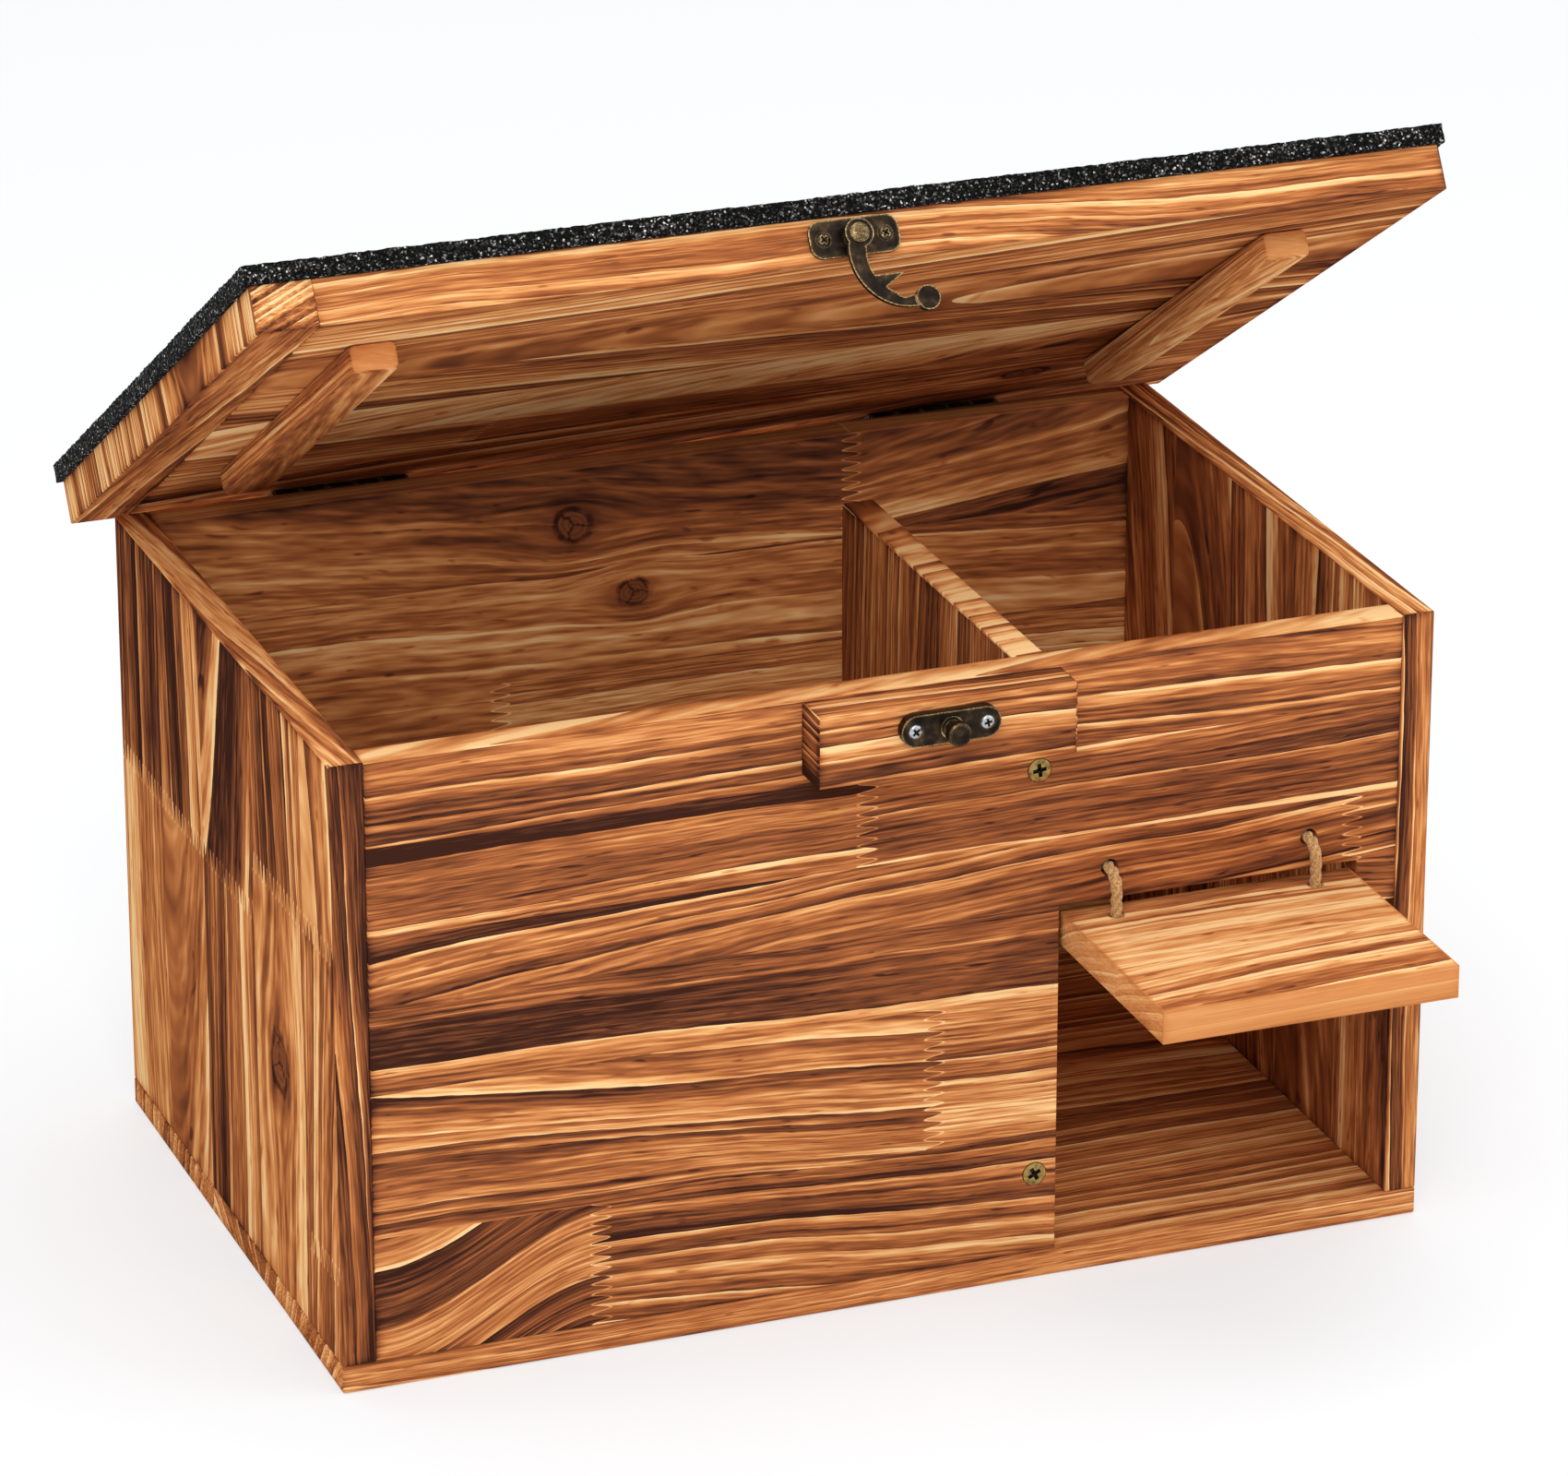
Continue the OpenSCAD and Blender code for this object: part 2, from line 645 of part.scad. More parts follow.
// A curved arm from the eye to the thumb disc, with a barb inside its bend and a pocket for the latched stud
module latch_hook() {
    pocket_d = neck_d + 2 * moving_gap;
    color("#4a3a26") on_lid() translate([rivet_x, hook_y, lid_mid_z]) facing_front() difference() {
        union() {
            cylinder(d = eye_d, h = hook_t);
            translate(arm_middle) rotate([0, 0, arm_start]) rotate_extrude(angle = arm_sweep)
                translate([arm_r - arm_w / 2, 0]) square([arm_w, hook_t]);
            translate(thumb_middle) cylinder(d = thumb_d, h = thumb_t);
            linear_extrude(hook_t) polygon(barb);
        }
        translate([0, 0, -cut]) cylinder(d = rivet_d + 2 * fit, h = hook_t + 2 * cut);
        rotate([0, 0, pocket_angle]) translate([0, -stud_reach, -cut])
            cylinder(d = pocket_d, h = thumb_t + 2 * cut);
    }
}

base_board();
left_side_panel();
right_side_panel();
front_panel();
back_panel();
divider_panel();
base_screws();
divider_front_screws();
divider_base_screws();
front_dowels();
back_dowels();
catch_block();
block_screws();
catch_plate();
catch_stud();
catch_plate_screws();
left_hinge_body_leaf();
right_hinge_body_leaf();
left_hinge_pin();
right_hinge_pin();
hinge_body_screws();
left_rope_tie();
right_rope_tie();
entrance_flap();
lid_board();
roof_felt();
left_lid_batten();
right_lid_batten();
batten_screws();
left_hinge_lid_leaf();
right_hinge_lid_leaf();
hinge_lid_screws();
hook_plate();
hook_rivet();
hook_plate_screws();
latch_hook();
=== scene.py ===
"""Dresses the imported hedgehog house: torched pine boards, gritty roofing felt, bronze catch and jute ties."""

import json
import math
from functools import partial

import bpy
from mathutils import Matrix, Vector


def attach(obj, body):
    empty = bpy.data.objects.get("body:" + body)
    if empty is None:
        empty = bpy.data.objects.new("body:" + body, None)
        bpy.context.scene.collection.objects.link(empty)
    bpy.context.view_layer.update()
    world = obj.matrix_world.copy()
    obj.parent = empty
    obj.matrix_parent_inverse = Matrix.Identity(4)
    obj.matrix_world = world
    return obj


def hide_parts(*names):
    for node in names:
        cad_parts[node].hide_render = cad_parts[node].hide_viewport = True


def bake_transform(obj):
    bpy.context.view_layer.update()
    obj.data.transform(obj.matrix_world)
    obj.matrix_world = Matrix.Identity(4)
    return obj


MM = 0.001

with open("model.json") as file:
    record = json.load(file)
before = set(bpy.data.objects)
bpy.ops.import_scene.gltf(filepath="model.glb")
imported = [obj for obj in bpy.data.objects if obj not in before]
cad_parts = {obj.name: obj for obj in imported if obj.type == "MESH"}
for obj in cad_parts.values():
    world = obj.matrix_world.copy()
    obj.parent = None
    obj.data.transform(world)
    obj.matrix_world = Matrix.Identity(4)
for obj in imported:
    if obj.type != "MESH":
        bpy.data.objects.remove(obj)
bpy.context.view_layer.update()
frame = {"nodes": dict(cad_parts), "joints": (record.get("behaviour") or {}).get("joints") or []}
joints = {joint["name"]: joint for joint in frame["joints"]}

# The lid is propped open at rest. Its pieces are modelled shut, then turned about the hinge into place.
hinge = Vector(joints["lid_hinge"]["pos_m"])
lid_tilt = math.radians(joints["lid_hinge"]["range_deg"][0])
AS_BUILT = Matrix.Identity(4)
LID_OPEN = Matrix.Translation(hinge) @ Matrix.Rotation(lid_tilt, 4, "X") @ Matrix.Translation(-hinge)


def linear(code):
    """An sRGB hex colour as linear red, green, blue and alpha."""
    shares = [int(code[i:i + 2], 16) / 255 for i in (1, 3, 5)]
    return [c / 12.92 if c <= 0.04045 else ((c + 0.055) / 1.055) ** 2.4 for c in shares] + [1.0]


def add_node(tree, kind, *values, **named):
    """Adds one node, such as Math:ADD. Values go to its sockets in order, a named value with a capital to the
    socket of that name and a small one to the node's setting. A node or an output given as a value is linked."""
    kind, _, operation = kind.partition(":")
    node = tree.nodes.new(kind if kind.startswith("Node") else "ShaderNode" + kind)
    if operation:
        node.operation = operation
    given = list(zip(node.inputs, values))
    for key, value in named.items():
        if key == "stops":
            stops = node.color_ramp.elements
            while len(stops) < len(value):
                stops.new(1.0)
            for stop, (position, code) in zip(stops, value):
                stop.position, stop.color = position, linear(code)
        elif key[0].islower():
            setattr(node, key, value)
    given += [(node.inputs[k.replace("_", " ")], v) for k, v in named.items() if not k[0].islower()]
    for socket, value in given:
        if isinstance(value, bpy.types.Node):
            value = value.outputs[0]
        if isinstance(value, bpy.types.NodeSocket):
            tree.links.new(value, socket)
        else:
            socket.default_value = value
    return node


def new_material(name):
    """An empty material, and a function that adds nodes to it."""
    material = bpy.data.materials.new(name)
    material.use_nodes = True
    material.node_tree.nodes.clear()
    return material, partial(add_node, material.node_tree)


def in_millimetres(add):
    """Where a point of the piece lies, in millimetres."""
    return add("VectorMath:SCALE", add("TexCoord").outputs["Object"], Scale=1 / MM)


# Torched pine. Lengths are in millimetres, and tones go from 0, scorched, to 1, bare.

# Charred earlywood, burnt umber, orange brown, honey and pale latewood
TORCHED_TONES = (
    (0.00, "#3A2018"), (0.15, "#593222"), (0.32, "#7F482B"), (0.50, "#A56036"),
    (0.68, "#CC854D"), (0.84, "#E2A569"), (1.00, "#F2C88E"),
)
# The grain's middle tone, about which a board's contrast spreads the rest, and its usual width of a ring
MIDDLE_TONE, RING_SPACING = 0.42, 4.4

# How far apart the trees lie in the noise, and how far a seed moves on for each new draw or pattern
TREE_SPREAD = (900.0, 700.0, 500.0)
SECOND_DRAW, GROWTH_STEP, YEARS_STEP, RING_STEP = 0.31, 13.7, 7.9, 61.7
# How far a board's seed moves on for each lamella, each finger joint, and a face with its own run of grain
ROW_STEP, FINGER_STEP, RUN_STEP = 1.37, 0.59, 5.3

# Wander of the fibres: long sweeps, short ripples and a fray along every line, as (length, width, detail, reach)
WANDER = ((280, 90, 1.0, 17.0), (90, 30, 1.0, 5.0), (12, 1.5, 1.0, 0.8))
# The pith: how often it lies on the far side, how far aside beyond the rift, its least depth and more, its lean
PITH_FAR_SHARE, PITH_ASIDE, PITH_DEPTH, PITH_DEEPER, PITH_LEAN = 0.35, 60.0, 14.0, 50.0, 0.10
# Broad bands of dense and open growth, uneven rings in them, and fine lines in the rings, as (width, detail, tone)
GROWTH = ((15.0, 2.0, 0.42), (3.6, 1.0, 0.26), (1.0, 1.0, 0.40))
# Runs of good and lean years: how wide a run is, and how many rings it shifts
YEARS_WIDTH, YEARS_SHIFT = 17.0, 2.4
# Tones: a tree's darkest and its range, the range of a ring, the char at its start and how fast that fades
TREE_TONE, TREE_RANGE, RING_RANGE, CHAR_TONE, CHAR_FADE = 0.30, 0.10, 0.32, 0.13, 1.5
# The hard line at a ring's end: how pale at least and more, how sharp at least and more, and the streaks it shows in
LINE_TONE, LINE_PALER, LINE_SHARP, LINE_SHARPER, LINE_STREAK = 0.20, 0.28, 1.3, 5.0, (120, 6, 2.0)
# Blotches where the flame stayed longer, as (length, width, detail)
FLAME, FLAME_TONE = (150, 26, 2.0), 0.46
# Fibres as (length, width, detail, tone), and resin ticks. Both are drawn coarser than real, so that they show.
FIBRES = ((50, 1.0, 2.0, 0.60), (16, 0.5, 1.0, 0.64))
TICK, TICK_TONE = (9, 0.7, 0.0), 0.24


def torched_grain():
    """Node group for a flame-brushed softwood lamella: each ring starts dark and burnt and ends in a pale hard line.
    Place is in millimetres, along the fibres first and across from the lamella's edge. Seed picks the tree that it
    came from, Rift how far to the side its pith lies, far for straight lines and near for flame figure, and Spacing
    the width of a ring."""
    tree = bpy.data.node_groups.new("torched_grain", "ShaderNodeTree")
    tree.interface.new_socket("Place", in_out="INPUT", socket_type="NodeSocketVector")
    for socket in ("Seed", "Rift", "Spacing"):
        tree.interface.new_socket(socket, in_out="INPUT", socket_type="NodeSocketFloat")
    for socket in ("Tone", "Fibre"):
        tree.interface.new_socket(socket, in_out="OUTPUT", socket_type="NodeSocketFloat")
    add = partial(add_node, tree)
    given = add("NodeGroupInput")
    place, seed, rift, spacing = (given.outputs[socket] for socket in ("Place", "Seed", "Rift", "Spacing"))

    def draw(number):
        """Three even chances that belong to a number, as a colour."""
        return add("TexWhiteNoise", W=number, noise_dimensions="1D").outputs["Color"]

    def streaks(where, length, width, detail):
        """Noise drawn out along the fibres, less its mean."""
        stretched = add("VectorMath:MULTIPLY", where, (1 / length, 1 / width, 1 / width))
        return add("Math:SUBTRACT", add("TexNoise", Vector=stretched, Scale=1.0, Detail=detail), 0.5)

    def outward(width, detail, step):
        """Noise over the distance from the pith, less its mean."""
        distance = add("Math:MULTIPLY_ADD", seed, step, add("Math:DIVIDE", radius, width))
        noise = add("TexNoise", W=distance, Scale=1.0, Detail=detail, noise_dimensions="1D")
        return add("Math:SUBTRACT", noise, 0.5)

    # The tree's own chances, and its own place in the noise
    first = draw(seed)
    chance = add("SeparateColor", first)
    second = add("SeparateColor", draw(add("Math:ADD", seed, SECOND_DRAW)))
    own = add("VectorMath:MULTIPLY_ADD", first, TREE_SPREAD, place)
    wander = 0.0
    for length, width, detail, reach in WANDER:
        wander = add("Math:MULTIPLY_ADD", streaks(own, length, width, detail), reach, wander)

    # Distance from the pith, which lies beside and below the lamella and leans a little; the fibres follow the rings
    xyz = add("SeparateXYZ", place)
    side = add("Math:MULTIPLY_ADD", add("Math:GREATER_THAN", second.outputs[1], PITH_FAR_SHARE), 2.0, -1.0)
    pith_across = add("Math:MULTIPLY", side, add("Math:MULTIPLY_ADD", chance.outputs[0], PITH_ASIDE, rift))
    pith_deep = add("Math:MULTIPLY_ADD", chance.outputs[1], PITH_DEEPER, PITH_DEPTH)
    lean = add("Math:MULTIPLY", add("Math:SUBTRACT", chance.outputs[2], 0.5), PITH_LEAN)
    offset = add("CombineXYZ", add("Math:ADD", add("Math:ADD", xyz.outputs["Y"], wander), pith_across),
                 add("Math:ADD", xyz.outputs["Z"], pith_deep), 0.0)
    radius = add("Math:MULTIPLY_ADD", xyz.outputs["X"], lean, add("VectorMath:LENGTH", offset).outputs["Value"])
    flow = add("VectorMath:MULTIPLY_ADD", first, TREE_SPREAD,
               add("CombineXYZ", xyz.outputs["X"], radius, xyz.outputs["Z"]))

    # Bands of growth, then the rings: which one it is, how far through it, and its own chances
    tone = add("Math:MULTIPLY_ADD", second.outputs[2], TREE_RANGE, TREE_TONE)
    for width, detail, amount in GROWTH:
        tone = add("Math:MULTIPLY_ADD", outward(width, detail, GROWTH_STEP), amount, tone)
    ring = add("Math:MULTIPLY_ADD", outward(YEARS_WIDTH, 1.0, YEARS_STEP), YEARS_SHIFT,
               add("Math:DIVIDE", radius, spacing))
    number = add("Math:FLOOR", ring)
    phase = add("Math:SUBTRACT", ring, number)
    year = add("SeparateColor", draw(add("Math:MULTIPLY_ADD", seed, RING_STEP, number)))

    # The hard line keeps about its width in a wide ring, and comes and goes along the fibres
    narrow = add("Math:POWER", add("Math:DIVIDE", spacing, RING_SPACING), 0.7)
    sharp = add("Math:MULTIPLY", add("Math:MULTIPLY_ADD", year.outputs[0], LINE_SHARPER, LINE_SHARP), narrow)
    rise = add("Math:POWER", phase, sharp)
    pale = add("Math:MULTIPLY_ADD", add("Math:POWER", year.outputs[2], 1.6), LINE_PALER, LINE_TONE)
    shown = add("MapRange", Value=streaks(flow, *LINE_STREAK), From_Min=-0.2, From_Max=0.2, To_Min=0.2, To_Max=1.5)
    tone = add("Math:MULTIPLY_ADD", rise, add("Math:MULTIPLY", pale, shown), tone)
    tone = add("Math:MULTIPLY_ADD", add("Math:SUBTRACT", year.outputs[1], 0.5), RING_RANGE, tone)
    char = add("Math:POWER", add("Math:SUBTRACT", 1.0, phase), CHAR_FADE)
    char = add("Math:SUBTRACT", char, 1 / (1 + CHAR_FADE))
    tone = add("Math:MULTIPLY_ADD", char, add("Math:MULTIPLY", shown, -CHAR_TONE), tone)

    tone = add("Math:MULTIPLY_ADD", streaks(own, *FLAME), FLAME_TONE, tone)
    fibre = add("MapRange", Value=streaks(flow, *TICK), From_Min=0.24, From_Max=0.34, To_Max=-TICK_TONE)
    for length, width, detail, amount in FIBRES:
        fibre = add("Math:MULTIPLY_ADD", streaks(flow, length, width, detail), amount, fibre)
    add("NodeGroupOutput", tone, fibre)
    return tree


GRAIN = torched_grain()

# Finger joints: their teeth, half the width of the pale glue and of its edge, and its tone
FINGER_LENGTH, FINGER_PITCH = 3.4, 3.8
GLUE_CORE, GLUE_EDGE, GLUE_TONE = 0.35, 0.9, 0.30


def glue_up(add, along, across, seed, rows, fingers):
    """Splits a board into lamellae: glue lines split it across, and finger joints split a lamella along. Gives the
    row that a point is in, where the row starts, its piece's seed, ring width and shade, and the joints' glue."""
    row = 0.0
    start, spacing, shade = rows[0]
    for before, after in zip(rows, rows[1:]):
        above = add("Math:GREATER_THAN", across, after[0])
        row = add("Math:ADD", above, row)
        start, spacing, shade = (add("Math:MULTIPLY_ADD", above, new - old, value)
                                 for old, new, value in zip(before, after, (start, spacing, shade)))
    seeds = add("Math:MULTIPLY_ADD", row, ROW_STEP, seed)
    teeth = add("Math:SINE", add("Math:MULTIPLY", across, 2 * math.pi / FINGER_PITCH))
    saw = add("Math:MULTIPLY", teeth, FINGER_LENGTH)
    glue = 0.0
    for number, position, new_spacing, new_shade in fingers:
        beyond = add("Math:SUBTRACT", along, add("Math:ADD", saw, position))
        inside = add("Math:COMPARE", row, number, 0.1)
        passed = add("Math:MULTIPLY", add("Math:GREATER_THAN", beyond, 0.0), inside)
        seeds = add("Math:MULTIPLY_ADD", passed, FINGER_STEP, seeds)
        spacing = add("Math:MULTIPLY_ADD", passed, add("Math:SUBTRACT", new_spacing, spacing), spacing)
        shade = add("Math:MULTIPLY_ADD", passed, add("Math:SUBTRACT", new_shade, shade), shade)
        edge = add("MapRange", Value=add("Math:ABSOLUTE", beyond), From_Min=GLUE_CORE, From_Max=GLUE_EDGE,
                   To_Min=1.0, To_Max=0.0)
        glue = add("Math:MULTIPLY_ADD", edge, inside, glue)
    return row, start, seeds, spacing, shade, glue


# Knot: how much longer than wide, how far it parts the fibres along and across in radii, and how strongly. Then its
# tones and how close its rings are, and the waves of its outline and the patches of its bark.
KNOT_STRETCH, KNOT_REACH_ALONG, KNOT_REACH_ACROSS, KNOT_PULL = 1.2, 4.0, 2.2, 0.8
KNOT_TONE, KNOT_RINGS, KNOT_RING_TONE = 0.42, 19.0, 0.05
KNOT_CHECK_TONE, KNOT_BARK_TONE, KNOT_HALO_TONE = 0.26, 0.36, 0.13
KNOT_WAVE, BARK_PATCH = 7, 5


def grow_knot(add, at, along, across, knot):
    """A knot: rings with three radial checks, in patchy bark with a dark halo. Gives the way across with the fibres
    parted round it, where its heart is, the heart's tone, and how much the bark darkens."""
    knot_along, knot_across, radius = knot
    from_along = add("Math:SUBTRACT", along, knot_along)
    from_across = add("Math:SUBTRACT", across, knot_across)

    def spread(length, width):
        """The squared distance from the knot's middle, in lengths along and widths across."""
        return add("Math:ADD", add("Math:POWER", add("Math:DIVIDE", from_along, length), 2.0),
                   add("Math:POWER", add("Math:DIVIDE", from_across, width), 2.0))

    reach = spread(radius * KNOT_REACH_ALONG, radius * KNOT_REACH_ACROSS)
    pull = add("Math:MULTIPLY", add("Math:EXPONENT", add("Math:MULTIPLY", reach, -1.0)), KNOT_PULL)
    parted = add("Math:SUBTRACT", across, add("Math:MULTIPLY", from_across, pull))

    uneven = add("Math:SUBTRACT", add("TexNoise", Vector=at, Scale=1 / KNOT_WAVE, Detail=3.0), 0.5)
    size = add("Math:MULTIPLY_ADD", uneven, 0.6, add("Math:SQRT", spread(radius * KNOT_STRETCH, radius)))
    heart = add("MapRange", Value=size, From_Min=0.85, From_Max=1.05, To_Min=1.0, To_Max=0.0)
    rings = add("Math:SINE", add("Math:MULTIPLY", size, KNOT_RINGS))
    tone = add("Math:MULTIPLY_ADD", rings, KNOT_RING_TONE, KNOT_TONE)
    turn = add("Math:MULTIPLY_ADD", add("Math:ARCTAN2", from_across, from_along), 1.5,
               add("Math:MULTIPLY", uneven, 3.0))
    spoke = add("Math:MULTIPLY", add("Math:ABSOLUTE", add("Math:SINE", turn)), add("Math:MULTIPLY", size, radius))
    check = add("MapRange", Value=spoke, From_Min=0.1, From_Max=0.8, To_Min=-KNOT_CHECK_TONE, To_Max=0.0)
    bark = add("MapRange", Value=add("Math:ABSOLUTE", add("Math:SUBTRACT", size, 1.0)), From_Max=0.30,
               To_Min=KNOT_BARK_TONE, To_Max=0.0, interpolation_type="SMOOTHSTEP")
    patchy = add("TexNoise", Vector=at, Scale=1 / BARK_PATCH, Detail=2.0)
    patchy = add("MapRange", Value=patchy, From_Min=0.35, From_Max=0.65, To_Min=0.15)
    halo = add("MapRange", Value=size, From_Min=0.9, From_Max=2.4, To_Min=KNOT_HALO_TONE, To_Max=0.0,
               interpolation_type="SMOOTHSTEP")
    return parted, heart, add("Math:ADD", tone, check), add("Math:MULTIPLY_ADD", bark, patchy, halo)


def spread_tones(add, grain, contrast, middle):
    """Spreads the grain's tones about a middle one, and lays the fibres over them."""
    tone = add("Math:MULTIPLY_ADD", add("Math:SUBTRACT", grain, MIDDLE_TONE), contrast, middle)
    return add("Math:ADD", tone, grain.outputs["Fibre"])


# How deep a face with its own grain goes, where a sawn face starts and ends to fade, how far in an edge is burnt,
# how long the flickers of that burn are, and how far the brush left the hard lines proud
RUN_DEPTH, SAWN_FULL, SAWN_GONE, BURN_DEPTH, FLICKER, BRUSHED = 0.6, 0.5, 1.1, 1.6, 22, 0.25


def torched_pine(name, place, low, high, axes, seed, rows=(), fingers=(), sways=(), knots=(), runs=(), faces=(),
                 smoked=(), tone=0.0, contrast=1.35, scorch=0.3, rift=35.0):
    """Pine that was torched, brushed and oiled: orange brown with charred soft bands and pale hard lines.
    Low and high are the board's corners before place turns it. Axes say which way is along, across and deep.
    Rows are its lamellae as (glue line, ring width, shade), and fingers its finger joints as (row, along, ring width,
    shade). Shade is how much paler that piece is than the board. Sways are bends of a lamella's fibres as (row, from,
    to, rise), and knots are (along, across, radius). Runs are faces whose grain goes its own way, as (axis, end, axes,
    ring width, tone, contrast), and faces those sawn after torching, as (axis, end, tone, amount). Tone and painted
    shade ramps darken the board along an axis, or pale it where the amount is negative, as (axis, from, to, amount);
    on most boards a ramp is the wood's own tone, and on the lid it is painted shade where its underside lies in
    shadow."""
    material, add = new_material(name)
    shut = place.inverted()
    at = add("Mapping", Vector=add("TexCoord").outputs["Object"], Location=shut.translation / MM,
             Rotation=shut.to_euler(), Scale=(1 / MM,) * 3)
    xyz = add("SeparateXYZ", at)
    along, across, deep = (xyz.outputs[axis] for axis in axes)
    ends = {axis: (low["XYZ".index(axis)] / MM, high["XYZ".index(axis)] / MM) for axis in axes}

    def depth(axis, end):
        """How far a point lies from the face at one end of an axis."""
        return add("Math:ABSOLUTE", add("Math:SUBTRACT", xyz.outputs[axis], ends[axis][end]))

    rows = rows or ((ends[axes[1]][0], RING_SPACING, 0.0),)
    row, start, seeds, spacing, shade, glue = glue_up(add, along, across, seed, rows, fingers)
    for number, sway_from, sway_to, rise in sways:
        bend = add("MapRange", Value=along, From_Min=sway_from, From_Max=sway_to, To_Max=-rise,
                   interpolation_type="SMOOTHSTEP")
        across = add("Math:MULTIPLY_ADD", bend, add("Math:COMPARE", row, number, 0.1), across)
    grown = []
    for knot in knots:
        across, *parts = grow_knot(add, at, along, across, knot)
        grown.append(parts)

    within = add("Math:SUBTRACT", across, start)
    grain = add("Group", node_tree=GRAIN, Place=add("CombineXYZ", along, within, deep), Seed=seeds, Rift=rift,
                Spacing=spacing)
    level = spread_tones(add, grain, contrast, add("Math:ADD", shade, MIDDLE_TONE + tone))
    for heart, heart_tone, bark in grown:
        level = add("Math:MULTIPLY_ADD", add("Math:SUBTRACT", heart_tone, level), heart, level)
        level = add("Math:SUBTRACT", level, bark)
    level = add("Math:MULTIPLY_ADD", glue, GLUE_TONE, level)

    #     Faces with their own run of grain, ramps of tone and painted shade along the board, and paler, calmer sawn
    #     faces
    for axis, end, run_axes, run_spacing, run_tone, run_contrast in runs:
        run_grain = add("Group", node_tree=GRAIN, Seed=seed + RUN_STEP, Rift=rift, Spacing=run_spacing,
                        Place=add("CombineXYZ", *(xyz.outputs[run_axis] for run_axis in run_axes)))
        run = spread_tones(add, run_grain, run_contrast, MIDDLE_TONE + run_tone)
        shown = add("Math:LESS_THAN", depth(axis, end), RUN_DEPTH)
        level = add("Math:MULTIPLY_ADD", add("Math:SUBTRACT", run, level), shown, level)
    # A ramp changes the tone along an axis; on the lid it is painted shade, on other boards the wood's own tone
    for axis, ramp_from, ramp_to, amount in smoked:
        smoke = add("MapRange", Value=xyz.outputs[axis], From_Min=ramp_from, From_Max=ramp_to, To_Max=-amount,
                    interpolation_type="SMOOTHSTEP")
        level = add("Math:ADD", level, smoke)
    for axis, end, sawn_tone, amount in faces:
        sawn = add("MapRange", Value=depth(axis, end), From_Min=SAWN_FULL, From_Max=SAWN_GONE, To_Min=amount,
                   To_Max=0.0)
        level = add("Math:MULTIPLY_ADD", add("Math:SUBTRACT", sawn_tone, level), sawn, level)

    # The edges caught more flame: there the second nearest face is near too
    a, b, c = (add("Math:MINIMUM", add("Math:SUBTRACT", xyz.outputs[axis], first),
                   add("Math:SUBTRACT", last, xyz.outputs[axis])) for axis, (first, last) in ends.items())
    edge = add("Math:MAXIMUM", add("Math:MINIMUM", a, b), add("Math:MINIMUM", add("Math:MAXIMUM", a, b), c))
    flicker = add("MapRange", Value=add("TexNoise", Vector=at, Scale=1 / FLICKER, Detail=2.0), From_Min=0.35,
                  From_Max=0.7, To_Min=0.2, To_Max=1.4)
    burn = add("Math:EXPONENT", add("Math:DIVIDE", edge, -BURN_DEPTH))
    level = add("Math:MULTIPLY_ADD", add("Math:MULTIPLY", burn, flicker), -scorch, level)

    colour = add("ValToRGB", level, stops=TORCHED_TONES)
    relief = add("Bump", Strength=0.30, Distance=BRUSHED * MM, Height=level)
    shine = add("MapRange", Value=level, From_Min=0.1, From_Max=0.9, To_Min=0.66, To_Max=0.5)
    skin = add("BsdfPrincipled", Base_Color=colour, Roughness=shine, Normal=relief, Specular_IOR_Level=0.0)
    add("OutputMaterial", skin)
    return material


# Modelling by hand

SHARP, SMOOTH, CAST_SHARP = math.radians(30), math.radians(35), math.radians(40)
SCREW_CORNERS, FITTING_CORNERS, HOLE_CORNERS = 40, 56, 48


def node_box(node, place=AS_BUILT):
    """A CAD node's lowest and highest corners in the frame that place turns into the house's."""
    return corners_of(frame["nodes"][node].data, place)


def corners_of(mesh, place):
    """A mesh's lowest and highest corners in that frame."""
    back = place.inverted()
    points = [back @ vertex.co for vertex in mesh.vertices]
    return [Vector(pick(point[i] for point in points) for i in range(3)) for pick in (min, max)]


def select(*pieces):
    """Selects these pieces alone, the first of them active."""
    bpy.ops.object.select_all(action="DESELECT")
    for piece in pieces:
        piece.select_set(True)
    if pieces:
        bpy.context.view_layer.objects.active = pieces[0]


def apply_place():
    """Puts the place, turn and size of what is selected into its mesh."""
    bpy.ops.object.transform_apply(location=True, rotation=True, scale=True)


def join(pieces):
    """Makes pieces one, and gives it back."""
    select(*pieces)
    bpy.ops.object.join()
    return pieces[0]


def call(piece, name):
    """Names a piece and its mesh."""
    piece.name = piece.data.name = name
    return piece


def start_box(name, low, high):
    """A cube between two corners, selected alone, with its place and size in its mesh."""
    select()
    bpy.ops.mesh.primitive_cube_add(size=1.0, location=(low + high) / 2, scale=high - low)
    apply_place()
    return call(bpy.context.object, name)


def start_rod(name, start, end, diameter):
    """A cylinder from one point to another, with its place in its mesh."""
    select()
    bpy.ops.mesh.primitive_cylinder_add(vertices=HOLE_CORNERS, radius=diameter / 2, depth=(end - start).length,
                                        location=(start + end) / 2,
                                        rotation=(end - start).to_track_quat("Z", "Y").to_euler())
    apply_place()
    return call(bpy.context.object, name)


def cut_away(piece, tools, finish="INDEX"):
    """Takes each tool out of the piece, then deletes it. With TRANSFER, the cut keeps the tool's own material."""
    for tool in tools:
        cut = piece.modifiers.new("cut", "BOOLEAN")
        cut.operation, cut.solver, cut.object = "DIFFERENCE", "EXACT", tool
        cut.material_mode = finish
        select(piece)
        bpy.ops.object.modifier_apply(modifier=cut.name)
        bpy.data.objects.remove(tool)


def round_edges(piece, width, segments=2, sharp=SHARP, smooth=SMOOTH):
    """Rounds every sharp edge by a bevel of that width, and smooths what is left."""
    select(piece)
    bevel = piece.modifiers.new("edge", "BEVEL")
    bevel.width, bevel.segments, bevel.limit_method = width, segments, "ANGLE"
    bevel.angle_limit = sharp
    bpy.ops.object.modifier_apply(modifier=bevel.name)
    bpy.ops.object.shade_smooth_by_angle(angle=smooth)


